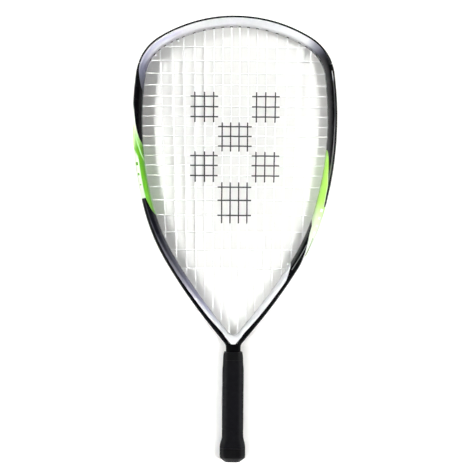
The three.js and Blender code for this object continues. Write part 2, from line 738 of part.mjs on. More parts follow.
// The grip: a band wound down the handle, so its edge leaves a seam that runs round as a helix.
// Each turn of the band is drawn as sheared rings, and the ends are trimmed square.
function gripWrap() {
  const corner = PALLET_CORNER + GRIP_THICKNESS / 2;
  const sides = 16;
  const reach = (level, inset) => {
    const slim = GRIP_TOP_SLIM * (1 - smoothstep(level, GRIP_TOP, GRIP_TOP + GRIP_TAPER));
    return flare(level) - slim - inset;
  };
  const octagonPoint = (i, level, inset) => {
    const grow = reach(level, inset);
    const ring = handleRing(level, GRIP_WIDTH + grow, PALLET_DEPTH / 2 + GRIP_THICKNESS + grow, corner);
    const from = ring[Math.floor(i / 2) % 8];
    const to = ring[(Math.floor(i / 2) + 1) % 8];
    return i % 2 ? from.clone().lerp(to, 0.5) : from;
  };
  const seam = [
    [0, 0],
    [GRIP_SEAM_WIDTH / 2, GRIP_SEAM_DEPTH],
    [GRIP_SEAM_WIDTH, 0],
    [GRIP_PITCH / 2, 0],
  ];
  const turns = Math.ceil(GRIP_LENGTH / GRIP_PITCH) + 2;
  const ways = [];
  for (let turn = 0; turn < turns; turn++) {
    for (const [offset, depth] of seam) ways.push([turn * GRIP_PITCH + offset, depth]);
  }
  const first = GRIP_TOP - 1.5 * GRIP_PITCH;
  const ringOf = ([offset, depth], inset) =>
    Array.from({ length: sides }, (_, i) => {
      const level = first + offset + (GRIP_PITCH * i) / sides;
      return octagonPoint(i, level, inset + depth);
    });
  return helicalSleeve(ways.map((way) => ringOf(way, 0)), seam.length);
}

// Joins sheared rings into one closed body: each ring's last point meets the first point a turn on
function helicalSleeve(rings, perTurn) {
  const sides = rings[0].length;
  const points = rings.flat();
  const index = [];
  const id = (ring, i) => (i < sides ? ring * sides + i : (ring + perTurn) * sides);
  const last = rings.length - 1 - perTurn;
  for (let ring = 0; ring < last; ring++) {
    for (let i = 0; i < sides; i++) {
      const [a, b, c, d] = [id(ring, i), id(ring, i + 1), id(ring + 1, i), id(ring + 1, i + 1)];
      index.push(a, b, c, b, d, c);
    }
  }
  const rim = (ring) => {
    const edge = Array.from({ length: sides }, (_, i) => id(ring, i));
    for (let k = perTurn; k > 0; k--) edge.push(id(ring + k, 0));
    return edge;
  };
  for (const [ring, flip] of [[0, true], [last, false]]) {
    const edge = rim(ring);
    const middle = points.length;
    const centre = new THREE.Vector3();
    edge.forEach((k) => centre.add(points[k]));
    points.push(centre.divideScalar(edge.length));
    edge.forEach((from, k) => {
      const to = edge[(k + 1) % edge.length];
      index.push(...(flip ? [middle, to, from] : [middle, from, to]));
    });
  }
  const geometry = new THREE.BufferGeometry().setFromPoints(points);
  geometry.setIndex(index);
  const body = solid(geometry);
  const aside = 2 * GRIP_WIDTH;
  const trim = boxBetween([-aside, HALF_LENGTH - GRIP_END, -aside], [aside, HALF_LENGTH - GRIP_TOP, aside]);
  return body.intersect(solid(trim)).subtract(solid(handleCore()));
}

// The room inside the grip: the pallets and the butt cap's sleeve, with the clearance round them
function handleCore() {
  const rings = [];
  const width = PALLET_WIDTH / 2 + CLEARANCE;
  const depth = PALLET_DEPTH / 2 + CLEARANCE;
  const slim = GRIP_TOP_SLIM / 4;
  const flareMiddle = lerp(FLARE_TOP, GRIP_END, 0.5);
  for (const level of [GRIP_TOP - CUT_MARGIN, FLARE_TOP, flareMiddle, GRIP_END + CUT_MARGIN]) {
    const grow = flare(level) - (level < GRIP_TOP ? slim : 0);
    rings.push(handleRing(level, width + Math.max(0, grow), depth + Math.max(0, grow), PALLET_CORNER));
  }
  return loft(rings);
}

function boxBetween(low, high) {
  const size = high.map((value, i) => value - low[i]);
  const box = new THREE.BoxGeometry(...size);
  box.translate(...low.map((value, i) => value + size[i] / 2));
  return box;
}

// The rubber collar that covers the top end of the grip, close round the legs
function gripCollar() {
  const bottom = GRIP_TOP - CLEARANCE;
  const top = bottom - COLLAR_LENGTH;
  const width = GRIP_WIDTH - GRIP_TOP_SLIM;
  const depth = PALLET_DEPTH / 2 + GRIP_THICKNESS - GRIP_TOP_SLIM;
  const corner = PALLET_CORNER + GRIP_THICKNESS / 2;
  const slim = COLLAR_SLIM;
  const outside = loft([
    handleRing(top, width - slim, depth - slim / 2, corner - slim / 2),
    handleRing(top + COLLAR_SHOULDER, width - slim / 2, depth - slim / 4, corner - slim / 4),
    handleRing(bottom, width, depth, corner),
  ]);
  const palletX = PALLET_WIDTH / 2 + CLEARANCE;
  const palletZ = PALLET_DEPTH / 2 + CLEARANCE;
  const pallet = loft([
    handleRing(PALLET_TOP - CLEARANCE, palletX, palletZ, PALLET_CORNER),
    handleRing(bottom + CUT_MARGIN, palletX, palletZ, PALLET_CORNER),
  ]);
  return cut(solid(outside), [legRoom(top - CUT_MARGIN, bottom + CUT_MARGIN), solid(pallet)]);
}

// The butt cap: a flared sleeve over the ends of the legs, its lip and chamfered end, and the hole
// where a wrist cord is tied
function buttCap() {
  const sleeveTop = PALLET_END + CLEARANCE;
  const lipTop = GRIP_END + CLEARANCE;
  const width = PALLET_WIDTH / 2;
  const depth = PALLET_DEPTH / 2;
  const corner = PALLET_CORNER + GRIP_THICKNESS / 2;
  const chamferMiddle = RACKET_LENGTH - BUTT_CHAMFER / 2;
  const endWidth = BUTT_END_WIDTH / 2;
  const endDepth = endWidth + depth - width;
  const outside = loft([
    handleRing(sleeveTop, width + flare(sleeveTop), depth + flare(sleeveTop), PALLET_CORNER),
    handleRing(lipTop, width + flare(lipTop), depth + flare(lipTop), PALLET_CORNER),
    handleRing(lipTop + CLEARANCE, BUTT_LIP, LIP_DEPTH, corner),
    handleRing(RACKET_LENGTH - BUTT_CHAMFER - BUTT_EDGE, BUTT_LIP, LIP_DEPTH, corner),
    handleRing(chamferMiddle, BUTT_LIP - BUTT_EDGE, LIP_DEPTH - BUTT_EDGE, corner),
    handleRing(RACKET_LENGTH, endWidth, endDepth, corner / 2),
  ]);
  const legsEnd = LEG_END_INSET - CLEARANCE;
  const hollowX = LEG_HALF - BUTT_WALL;
  const hollowZ = LEG_ROOM - BUTT_WALL;
  const hollowTop = legsEnd + CUT_MARGIN - HALF_LENGTH;
  const hollow = boxBetween([-hollowX, BUTT_WALL - HALF_LENGTH, -hollowZ], [hollowX, hollowTop, hollowZ]);
  const holeRadius = CORD_HOLE / 2;
  const holeLength = 2 * (BUTT_WALL + CUT_MARGIN);
  const hole = new THREE.CylinderGeometry(holeRadius, holeRadius, holeLength, CORD_HOLE_SIDES);
  hole.translate(0, -HALF_LENGTH, 0);
  const legs = legRoom(sleeveTop - CUT_MARGIN, RACKET_LENGTH - legsEnd);
  return cut(solid(outside), [legs, solid(hollow), solid(hole), ...stapleSlots()]);
}

// The staples that hold the butt cap's sleeve to the legs, front and back
function stapleShape(side, grow) {
  const level = PALLET_END + CLEARANCE + STAPLE_LEVEL;
  const y = HALF_LENGTH - level;
  const surface = PALLET_DEPTH / 2 + flare(level) - STAPLE_WIRE - CLEARANCE;
  const half = STAPLE_WIDTH / 2 + grow;
  const wire = STAPLE_WIRE / 2 + grow;
  const foot = surface - STAPLE_LEG - grow;
  const crown = boxBetween([-half, y - wire, surface - grow], [half, y + wire, surface + STAPLE_WIRE + grow]);
  const leg = (x) => boxBetween([x - wire, y - wire, foot], [x + wire, y + wire, surface + grow]);
  const inset = STAPLE_WIDTH / 2 - STAPLE_WIRE / 2;
  const pieces = [leg(-inset), leg(inset)].map(solid);
  const whole = joined(solid(crown), pieces);
  return side > 0 ? whole : whole.rotate([0, 180, 0]);
}

function stapleSlots() {
  return [1, -1].map((side) => stapleShape(side, CLEARANCE));
}

// Materials

function finish(color, roughness, metalness = 0) {
  return new THREE.MeshStandardMaterial({ color, roughness, metalness });
}

const PAINT = finish(0x1a1a1c, 0.25);
const WHITE_PAINT = finish(0xf2f2f4, 0.3);
const BLACK_PLASTIC = finish(0x161617, 0.5);
const CLEAR_PLASTIC = finish(0xe9ecec, 0.4);
const WHITE_STRING = finish(0xf4f4f0, 0.45);
const CORE_FOAM = finish(0x3a3a3c, 0.8);
const GRIP_RUBBER = finish(0x1b1b1e, 0.75);
const STEEL = finish(0x9a9c9e, 0.35, 1);

// The racket, raised so that the thickest piece, the butt's lip, lies on the ground

const racket = new THREE.Group();
racket.position.z = LIP_DEPTH;

function place(name, shape, material) {
  const geometry = shape.isBufferGeometry ? shape : geometryOf(shape);
  const mesh = new THREE.Mesh(geometry, material);
  mesh.name = name;
  racket.add(mesh);
}

const mainString = mainStringPoints();
const crossString = crossStringPoints();

place("frame_tube", frameTube(), PAINT);
place("throat_bridge", throatBridge(), WHITE_PAINT);
place("bumper_guard", bumperGuard(), BLACK_PLASTIC);
for (const [name, side] of [["left", -1], ["right", 1]]) {
  const throatEnd = LAST_HOLE + GROOVE_RUN_OUT / 2 - STRIP_JOINT;
  const sideStrip = grommetStrip(side, BUMPER_REACH + STRIP_JOINT, SIDE_STRIP_END);
  const throatStrip = grommetStrip(side, SIDE_STRIP_END + STRIP_JOINT, throatEnd);
  place(`grommet_strip_${name}`, sideStrip, CLEAR_PLASTIC);
  place(`throat_grommet_strip_${name}`, throatStrip, CLEAR_PLASTIC);
}
place("main_string", stringTube(mainString), WHITE_STRING);
place("cross_string", stringTube(crossString), WHITE_STRING);
place("handle_pallet_front", handlePallet(1), CORE_FOAM);
place("handle_pallet_rear", handlePallet(-1), CORE_FOAM);
place("grip_collar", gripCollar(), GRIP_RUBBER);
place("grip_wrap", gripWrap(), GRIP_RUBBER);
place("butt_cap", buttCap(), BLACK_PLASTIC);
place("butt_staple_front", stapleShape(1, 0), STEEL);
place("butt_staple_rear", stapleShape(-1, 0), STEEL);

const round = (value) => value.toFixed(2);
const mainToCross = leastGap(mainString, crossString);
const mainToItself = leastGap(mainString, mainString, NEIGHBOURS);
const crossToItself = leastGap(crossString, crossString, NEIGHBOURS);
const holeStep = Math.min(...HOLES.slice(1).map((way, i) => way - HOLES[i]));
console.log("least gap between main and cross string:", round(mainToCross), "mm");
console.log("least gap of the main string to itself:", round(mainToItself), "mm");
console.log("least gap of the cross string to itself:", round(crossToItself), "mm");
console.log("least step between string holes:", round(holeStep), "mm");

export default racket;
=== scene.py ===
# The looks of the racquetball racket: its smooth frame with the painted face, the plastic strips, the
# round interlaced strings with a stencil, and the wound grip, seen from straight above on a pale floor.
import bisect
import math

import bpy
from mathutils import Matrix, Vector

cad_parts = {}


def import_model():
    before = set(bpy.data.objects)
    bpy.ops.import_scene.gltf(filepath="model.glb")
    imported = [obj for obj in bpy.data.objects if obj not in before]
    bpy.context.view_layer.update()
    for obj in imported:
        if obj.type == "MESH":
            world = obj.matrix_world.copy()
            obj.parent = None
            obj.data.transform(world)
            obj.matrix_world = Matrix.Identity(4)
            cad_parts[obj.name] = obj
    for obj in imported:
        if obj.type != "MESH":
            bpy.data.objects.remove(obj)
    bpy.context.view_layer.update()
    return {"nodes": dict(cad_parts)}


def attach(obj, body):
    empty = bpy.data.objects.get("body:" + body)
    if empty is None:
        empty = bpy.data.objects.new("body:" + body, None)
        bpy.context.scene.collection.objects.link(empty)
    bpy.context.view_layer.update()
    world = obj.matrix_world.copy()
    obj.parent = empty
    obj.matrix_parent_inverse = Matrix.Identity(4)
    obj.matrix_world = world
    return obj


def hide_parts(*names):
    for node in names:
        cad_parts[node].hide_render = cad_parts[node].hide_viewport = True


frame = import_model()

MM = 0.001

# Sizes in millimetres that the solids have too. The outline's arcs are a radius and a sweep in degrees.
LENGTH = 558.8
HALF = LENGTH / 2
HANDLE_LENGTH = 144.2
ARCS = [(183, 31.1), (62.5, 51.2), (432, 23.1), (260, 15.4), (650, 8.6)]
NECK_WIDTH = 18.6
NECK_FILLET = 7
LEG_END_INSET = 12
PLANE = 15.6
CLEARANCE = 0.3
FRAME_WIDTH = 12
FRAME_DEPTH = 22
FRAME_CORNER = 5
LEG_DEPTH = 20
LEG_WIDTH = 9.1
LEG_NARROWING = 14
CHANNEL_HALF = 2.7
CHANNEL_WALL = 0.8
CHANNEL_FLOOR = 2.5
BUMPER_THICKNESS = 1.2
BUMPER_SEAT = BUMPER_THICKNESS + CLEARANCE
BUMPER_WRAP = 30
STRIP_JOINT = 0.8
GROOVE_RUN_OUT = 9
STRIP_RUN_OUT = GROOVE_RUN_OUT / 2
BARREL_RADIUS = 1.7
BARREL_PROTRUSION = 0.9
STRING_BEND_HEIGHT = 0.7
MAINS = 8
CROSSES = 19
MAIN_PITCH = 10.6
MAIN_PITCH_GROWTH = 3.5
MAIN_GROWTH_POWER = 1.6
MAIN_FAN = 2.25
MAIN_FAN_LEVEL = 180
FIRST_CROSS = 38.8
CROSS_PITCH = 12.2
CROSS_TOP_GROWTH = 5.2
CROSS_TOP_GAPS = 8
CROSS_TOP_POWER = 2.6
CROSS_BOTTOM_GROWTH = 11
CROSS_EVEN_GAPS = 10
LANE = 1.7

# Sizes of the looks alone: the frame's seen width changes between two ways along the outline
TIP_EXTRA = 0.8
TIP_NARROWING = (70, 150)
SIDE_LESS = 0.4
SIDE_WIDENING = (260, 330)
TIP_INNER_CORNER = 2.8
TIP_CORNER_CHANGE = (120, 170)
STRING_RADIUS = 0.78
WEAVE = 0.9
INK_BUILD = 0.12
INK_SOFT = 0.4
STENCIL_COLUMNS = [-56, -21.2, 21.2, 56]
STENCIL_LEVELS = [95, 133.2, 169.8, 208.4, 260]


def smooth(value, low, high):
    t = min(1.0, max(0.0, (value - low) / (high - low)))
    return t * t * (3 - 2 * t)


def lerp(a, b, t):
    return a + (b - a) * t


# The outline as a walk of arcs and straights from the tip, on the +X side

def walk_outline(fit):
    """Pieces as start, x, y, heading and radius, then the fillet's ends, the neck's level and the end."""
    walk = []
    start, x, y, heading = 0.0, 0.0, HALF, 0.0

    def arc(radius, turn):
        nonlocal start, x, y, heading
        walk.append((start, x, y, heading, radius))
        end = heading - turn
        x += radius * (math.sin(heading) - math.sin(end))
        y += radius * (math.cos(end) - math.cos(heading))
        heading = end
        start += radius * turn

    def straight(length):
        nonlocal start, x, y
        walk.append((start, x, y, heading, 0))
        x += length * math.cos(heading)
        y += length * math.sin(heading)
        start += length

    for radius, sweep in ARCS:
        arc(fit * radius, math.radians(sweep))
    last = math.pi / 2 + heading
    fillet_x = NECK_WIDTH / 2 + NECK_FILLET * (1 - math.cos(last))
    straight((x - fillet_x) / -math.cos(heading))
    fillet_start = start
    arc(-NECK_FILLET, last)
    fillet_end = start
    level = HALF - y
    straight(y + HALF - LEG_END_INSET)
    return walk, fillet_start, fillet_end, level, start


def crossing(measure, low, high):
    """Where a measure changes its sign between two values."""
    sign = measure(low) > 0
    for _ in range(50):
        middle = (low + high) / 2
        if (measure(middle) > 0) == sign:
            low = middle
        else:
            high = middle
    return (low + high) / 2


FIT = crossing(lambda fit: walk_outline(fit)[3] - (LENGTH - HANDLE_LENGTH), 0.5, 2)
WALK, FILLET_START, FILLET_END, _, WAY_END = walk_outline(FIT)
WIDEST = WALK[2][0]


def at(way, depth, z=0.0):
    """The point at a way along the outline and a depth in from it; a negative way is on the -X side."""
    length = abs(way)
    start, x, y, heading, radius = [piece for piece in WALK if piece[0] <= length][-1]
    gone = length - start
    if radius:
        turned = heading - gone / radius
        x += radius * (math.sin(heading) - math.sin(turned))
        y += radius * (math.cos(turned) - math.cos(heading))
        heading = turned
    else:
        x += gone * math.cos(heading)
        y += gone * math.sin(heading)
    side = -1 if way < 0 else 1
    return Vector((side * (x + depth * math.sin(heading)), y - depth * math.cos(heading), z + PLANE))


def frame_width(way):
    full = FRAME_WIDTH + TIP_EXTRA - (TIP_EXTRA + SIDE_LESS) * smooth(abs(way), *TIP_NARROWING)
    full += SIDE_LESS * smooth(abs(way), *SIDE_WIDENING)
    return lerp(full, LEG_WIDTH, smooth(abs(way), FILLET_START - LEG_NARROWING, FILLET_END))


def frame_depth(way):
    return lerp(FRAME_DEPTH, LEG_DEPTH, smooth(abs(way), FILLET_START, FILLET_END))


# String layout

def main_offset(index):
    offset = MAIN_PITCH / 2
    for gap in range(1, index + 1):
        offset += MAIN_PITCH + MAIN_PITCH_GROWTH * ((gap - 1) / (MAINS - 2)) ** MAIN_GROWTH_POWER
    return FIT * offset


def cross_level(index):
    level = FIRST_CROSS
    for gap in range(index):
        top = max(0.0, (CROSS_TOP_GAPS - gap) / CROSS_TOP_GAPS)
        level += CROSS_PITCH + CROSS_TOP_GROWTH * top ** CROSS_TOP_POWER
        level += CROSS_BOTTOM_GROWTH * smooth(gap, CROSS_EVEN_GAPS, CROSSES - 2)
    return HALF - FIT * level


def mouth(way):
    """Where a string comes out of a barrel on the inner side of the frame."""
    return at(way, frame_width(way) + BARREL_PROTRUSION + STRING_BEND_HEIGHT)


def lay_main(index):
    """A main's x at a height y, and the ways of its two holes."""
    offset = main_offset(index)
    fan = math.tan(math.radians(MAIN_FAN * (index / (MAINS - 1)) ** 2))

    def x_at(y):
        return offset + (y - HALF + FIT * MAIN_FAN_LEVEL) * fan

    def beside(way):
        point = mouth(way)
        return point.x - x_at(point.y)

    return x_at, crossing(beside, 0, WIDEST), crossing(beside, WIDEST, FILLET_START)


HALF_MAINS = [lay_main(i) for i in range(MAINS)]
ROWS = []
for row_index in range(CROSSES):
    level_y = cross_level(row_index)
    ROWS.append((level_y, crossing(lambda way: mouth(way).y - level_y, 0, FILLET_START)))

MAIN_TIE = (HALF_MAINS[-1][1] + ROWS[1][1]) / 2
TOP_TIE = -(HALF_MAINS[-3][1] + HALF_MAINS[-2][1]) / 2
BOTTOM_TIE = (HALF_MAINS[-2][2] + ROWS[-1][1]) / 2
BUMPER_REACH = (ROWS[1][1] + ROWS[2][1]) / 2
SIDE_END = (HALF_MAINS[-1][2] + ROWS[-2][1]) / 2
HALF_HOLES = [MAIN_TIE] + [way for _, *ends in HALF_MAINS for way in ends] + [way for _, way in ROWS]
HOLES = sorted([TOP_TIE, BOTTOM_TIE] + HALF_HOLES + [-way for way in HALF_HOLES])
LAST_HOLE = HOLES[-1]


def stencil_blocks():
    """The blocks of ink on the strings, as left, right, low and high."""
    blocks = []
    for i, (left, right) in enumerate(zip(STENCIL_COLUMNS, STENCIL_COLUMNS[1:])):
        for j, (top, bottom) in enumerate(zip(STENCIL_LEVELS, STENCIL_LEVELS[1:])):
            if (i + j) % 2 == 0:
                blocks.append((left, right, HALF - bottom, HALF - top))
    return blocks


def thickness(point):
    inked = any(left < point.x < right and low < point.y < high
                for left, right, low, high in stencil_blocks())
    return STRING_RADIUS + (INK_BUILD if inked else 0)


# Mesh making

def added(name, data):
    """A new object in the scene."""
    obj = bpy.data.objects.new(name, data)
    bpy.context.scene.collection.objects.link(obj)
    return obj


def make(name, shape, material, slot, replaces, sharp, data=None):
    """A dressed piece from its points in millimetres and its faces, creased past the sharp angle."""
    points, faces = shape
    mesh = bpy.data.meshes.new(name)
    mesh.from_pydata([Vector(p) * MM for p in points], [], faces)
    mesh.validate()
    for key, values in (data or {}).items():
        layer = mesh.attributes.new(key, "FLOAT", "POINT")
        layer.data.foreach_set("value", values)
    mesh.shade_smooth()
    mesh.set_sharp_from_angle(angle=math.radians(sharp))
    mesh.materials.append(material)
    piece = added(name, mesh)
    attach(piece, "root")
    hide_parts(*replaces)


def loft(rings):
    """Faces between closed rings with the same number of points, and over the first and the last."""
    count = len(rings[0])
    points = [p for ring in rings for p in ring]
    faces = []
    for k in range(len(rings) - 1):
        for i in range(count):
            a = k * count + i
            b = k * count + (i + 1) % count
            faces.append((a, b, b + count, a + count))
    last = (len(rings) - 1) * count
    faces.append(tuple(reversed(range(count))))
    faces.append(tuple(last + i for i in range(count)))
    return points, faces


def gather(parts):
    """One list of points and faces from several."""
    points, faces = [], []
    for part_points, part_faces in parts:
        base = len(points)
        points += part_points
        faces += [tuple(i + base for i in face) for face in part_faces]
    return points, faces


def spaced(path, shares):
    """The points at shares of a path's length."""
    lengths = [0.0]
    for a, b in zip(path, path[1:]):
        lengths.append(lengths[-1] + (b - a).length)
    points = []
    for share in shares:
        target = lengths[-1] * share
        j = min(bisect.bisect_right(lengths, target), len(path) - 1) - 1
        points.append(path[j].lerp(path[j + 1], (target - lengths[j]) / (lengths[j + 1] - lengths[j])))
    return points


def between(low, high, step):
    """Even values from one to the other, no further apart than a step."""
    count = max(1, math.ceil((high - low) / step))
    return [lerp(low, high, i / count) for i in range(count + 1)]


# Node helpers for the materials and the world

NOISE_RANGE = (0.3, 0.7)


class Graph:
    def __init__(self, tree):
        self.nodes = tree.nodes
        self.links = tree.links

    def put(self, socket, value):
        if hasattr(value, "is_output"):
            self.links.new(value, socket)
        elif isinstance(value, (tuple, list)) and len(value) == 3 and len(socket.default_value) == 4:
            socket.default_value = (*value, 1)
        else:
            socket.default_value = value

    def node(self, kind, **inputs):
        """The outputs of a new node with these inputs."""
        node = self.nodes.new(f"ShaderNode{kind}")
        for key, value in inputs.items():
            self.put(node.inputs[key.replace("_", " ")], value)
        return node.outputs

    def math(self, operation, a, b=0.0, c=None, clamp=False):
        node = self.nodes.new("ShaderNodeMath")
        node.operation = operation
        node.use_clamp = clamp
        self.put(node.inputs[0], a)
        self.put(node.inputs[1], b)
        if c is not None:
            self.put(node.inputs[2], c)
        return node.outputs[0]

    def times(self, a, b):
        return self.math("MULTIPLY", a, b)

    def less(self, a, b):
        return self.math("SUBTRACT", a, b)

    def mapped(self, value, *ends):
        """A value moved from one range to another."""
        keys = ("From_Min", "From_Max", "To_Min", "To_Max")
        return self.node("MapRange", Value=value, **dict(zip(keys, ends)))[0]


class Shade(Graph):
    def __init__(self, name, roughness, **settings):
        self.material = bpy.data.materials.new(name)
        self.material.use_nodes = True
        super().__init__(self.material.node_tree)
        self.shader = self.nodes["Principled BSDF"]
        self.shader.inputs["Roughness"].default_value = roughness
        for key, value in settings.items():
            self.shader.inputs[key.replace("_", " ")].default_value = value

    def mix(self, factor, a, b):
        node = self.nodes.new("ShaderNodeMix")
        node.data_type = "RGBA"
        self.put(node.inputs[0], factor)
        self.put(node.inputs[6], a)
        self.put(node.inputs[7], b)
        return node.outputs[2]

    def step(self, value, edge, soft=0.35):
        """0 below the edge and 1 above it."""
        return self.math("MULTIPLY_ADD", self.less(value, edge), 1 / soft, 0.5, clamp=True)

    def attribute(self, name):
        node = self.nodes.new("ShaderNodeAttribute")
        node.attribute_name = name
        return node.outputs["Fac"]

    def ramp(self, value, stops):
        node = self.nodes.new("ShaderNodeValToRGB")
        elements = node.color_ramp.elements
        while len(elements) < len(stops):
            elements.new(1.0)
        for element, (place, colour) in zip(elements, stops):
            element.position = place
            element.color = (*colour, 1)
        self.put(node.inputs[0], value)
        return node.outputs[0]

    def curve(self, value, stops, tall):
        """A piecewise straight curve, as heights at places along a value from 0 to 1."""
        flat = self.ramp(value, [(place, grey(height / tall)) for place, height in stops])
        return self.times(flat, tall)

    def coordinates(self):
        return self.node("TexCoord")["Object"]

    def position(self):
        """The object coordinates X and Y."""
        return self.node("SeparateXYZ", Vector=self.coordinates())[:2]

    def noise(self, scale, detail, stretch=None):
        vector = self.coordinates()
        if stretch:
            vector = self.node("Mapping", Vector=vector, Scale=stretch)[0]
        return self.node("TexNoise", Vector=vector, Scale=scale, Detail=detail)["Fac"]

    def cells(self, scale):
        return self.node("TexVoronoi", Vector=self.coordinates(), Scale=scale)["Distance"]

    def bump(self, height, strength, distance):
        normal = self.node("Bump", Strength=strength, Distance=distance, Height=height)[0]
        self.put(self.shader.inputs["Normal"], normal)

    def vary(self, factor, low, high):
        """Roughness between two values."""
        self.put(self.shader.inputs["Roughness"], self.mapped(factor, *NOISE_RANGE, low, high))

    def colour(self, value):
        self.put(self.shader.inputs["Base Color"], value)


# Places in the paint: pixels of the photograph turned into a way along the outline

PIXEL = 1.2535
TIP_ROW = 16.05


def way_at_row(row):
    level = (row - TIP_ROW) * PIXEL
    return crossing(lambda way: at(way, 0).y - (HALF - level), 0, WAY_END)


def way_at_column(offset):
    return crossing(lambda way: at(way, 0).x - offset * PIXEL, 0, WIDEST)


def place(way):
    return way / WAY_END


WHITE = (0.9, 0.91, 0.92)
BLACK = (0.0015, 0.0015, 0.002)
GREEN = (0.13, 0.5, 0.02)
LIME = (0.48, 0.9, 0.14)

# Depths in millimetres: the black line's beside the throat, and the most that a line of paint can reach
THROAT_LINE = 5.9
DEEPEST = 20

# The white throat's lower end: its row in the middle, and its rise in millimetres towards the sides
NECK_ROW = 343.9
NECK_SPAN = 20
NECK_RISE = 4.5
NECK_SOFT = 0.6
NECK_CURVE = [(0, 0), (0.15, 0.06), (0.24, 0.2), (0.3, 0.5), (0.36, 0.85), (0.42, 1.0)]


def rows(pairs):
    """Stops of a curve or colour ramp from pairs of a row and a value."""
    return [(place(way_at_row(row)), value) for row, value in pairs]


def line(s, u, pairs, first=()):
    """The depth of a line along the outline, in millimetres."""
    return s.curve(u, [*first, *rows(pairs)], DEEPEST)


def shades(s, u, pairs, first=()):
    """A colour along the outline."""
    return s.ramp(u, [*first, *rows(pairs)])


def near(s, value, centre, half, soft=0.6):
    """1 within half of the centre and 0 beyond it."""
    gap = s.math("ABSOLUTE", s.less(value, centre))
    return s.step(s.less(half, gap), 0.0, soft)


def from_row(s, way, row, soft=0.35):
    """0 above a row of the photograph and 1 below it."""
    return s.step(way, way_at_row(row), soft)


def between_rows(s, way, first, last):
    """1 between two rows, each given with its softness."""
    return s.less(from_row(s, way, *first), from_row(s, way, *last))


def stroke(s, u, way, depth, under, path, width, ends, over):
    """A colour laid over another along a line, between two rows."""
    shown = s.times(between_rows(s, way, *ends), near(s, depth, line(s, u, path), *width))
    return s.mix(shown, under, over)


def dashes(s, way, depth, colour, paint, marks, drop, half, edge, inward, soft):
    """Plain dashes at rows, each with its size; drop, half and inward are shares of that size."""
    for row, size in marks:
        shown = s.times(near(s, way, way_at_row(row) + size * drop, size * half, soft),
                        near(s, depth, edge + size * inward, size / 2, soft))
        colour = s.mix(shown, colour, paint)
    return colour


def tint(s, mask, colour, added, share):
    """A share of a colour laid over another."""
    return s.mix(s.times(mask, share), colour, added)


def grey(level, blue=1.0):
    return (level, level, level * blue)


# Paint of the left side. A list pairs rows of the photograph with colours or with depths in millimetres.
# An edge, start, end or width has its softness as the last number, and a tint is a colour and a share.
LEFT_COLUMN = 54
LEFT_STRIP = [
    (47, (0.84, 0.84, 0.9)), (58, (0.58, 0.58, 0.68)), (66, (0.38, 0.39, 0.48)), (74, (0.26, 0.27, 0.34))]
LEFT_SILVER_START = (0.76, 0.75, 0.87)
LEFT_SILVER = [
    (44, (0.72, 0.71, 0.87)), (52, (0.5, 0.5, 0.64)), (60, (0.33, 0.33, 0.45)),
    (70, (0.23, 0.235, 0.33)), (82, (0.15, 0.155, 0.2)), (92, (0.11, 0.11, 0.13))]
LEFT_SILVER_SLANT = 0.8
LEFT_SILVER_AFTER = 9
LEFT_SILVER_SOFT = 16
LEFT_STRIP_EDGE = (4.8, 0.8)
LEFT_PAINTED_LIGHT_EDGE = (8.6, 3.5)
LEFT_PAINTED_LIGHT_END = (54, 30)
LEFT_PAINTED_LIGHT_TINT = ((0.97, 0.96, 1.0), 0.85)
LEFT_BLACK_START = 2.4
LEFT_BLACK_LINE = [(46, 2.5), (64, 2.6), (70, 3.3), (76, 4.8), (82, 6.9), (88, 9.3), (93, 12.5)]
LEFT_BLACK_SHEEN_EDGE = (9.4, 5.0)
GREENS = [
    (112, (0.97, 0.98, 0.94)), (124, (0.94, 0.98, 0.86)), (132, (0.8, 0.93, 0.64)),
    (140, (0.44, 0.78, 0.24)), (150, (0.17, 0.58, 0.025)), (190, (0.17, 0.6, 0.03)),
    (212, (0.27, 0.64, 0.09))]
GREEN_START = 103
GREEN_LINE = [(104, 0), (110, 1.6), (124, 3.8), (132, 5.6), (140, 8.3), (147, 12.5)]
GREEN_LINE_SOFT = 0.8
GREEN_INNER_EDGE = (10.4, 2.4)
GREEN_INNER_TINT = ((0.2, 0.4, 0.1), 0.6)
GLOW_ROWS = ((128, 12), (150, 9))
GLOW_DEPTH = 2.6
GLOW_SOFT = 3.0
GLOW_TINT = ((0.7, 0.95, 0.42), 0.8)
STREAK_LINE = [(134, 3.0), (140, 4.4), (148, 6.9), (156, 9.3), (163, 12.4)]
STREAK_START = (137, 5)
STREAK_WIDTH = (0.75, 0.8)
STREAK = (0.56, 0.93, 0.4)
PANEL_LINE = [(149.5, 0.4), (153, 2.2), (157, 4.2), (162, 5.2), (198, 5.6)]
PANEL_LINE_SOFT = 1.4
PANEL_START = (149, 3)
PANEL = (0.87, 0.94, 0.76)
LEFT_DASHES = [(163, 2.6), (174, 2.0), (185, 1.4)]
LEFT_DASH = dict(drop=1, half=0.8, edge=3.8, inward=-0.5, soft=0.3)
LEFT_LEG_START = (199.7, 0.4)
LEFT_LEG_LINE = [(199.7, 5.6), (206, 7.2), (210, 8.3), (214, 9.7), (219, 12.6)]
VALLEY = [
    (205, BLACK), (236, (0.01, 0.01, 0.017)), (254, (0.034, 0.035, 0.046)), (270, (0.09, 0.095, 0.12)),
    (286, (0.15, 0.155, 0.22)), (300, (0.3, 0.31, 0.44)), (314, (0.52, 0.54, 0.7)), (331, WHITE)]
STRIPE_AND_HIGHLIGHT = [
    (203, grey(0.04, 1.15)), (222, grey(0.045, 1.2)), (242, grey(0.1, 1.2)), (262, grey(0.16, 1.2)),
    (284, grey(0.33, 1.18)), (298, grey(0.56, 1.15)), (310, grey(0.8, 1.08)), (322, WHITE)]
STRIPE_AND_HIGHLIGHT_LINE = [(203, 3.7), (222, 3.9), (250, 4.8), (290, 5.9), (310, 6.2)]
STRIPE_AND_HIGHLIGHT_HALF = [(203, 0.6), (240, 0.8), (262, 1.3), (290, 1.9), (310, 2.6)]
STRIPE_AND_HIGHLIGHT_SOFT = 1.3
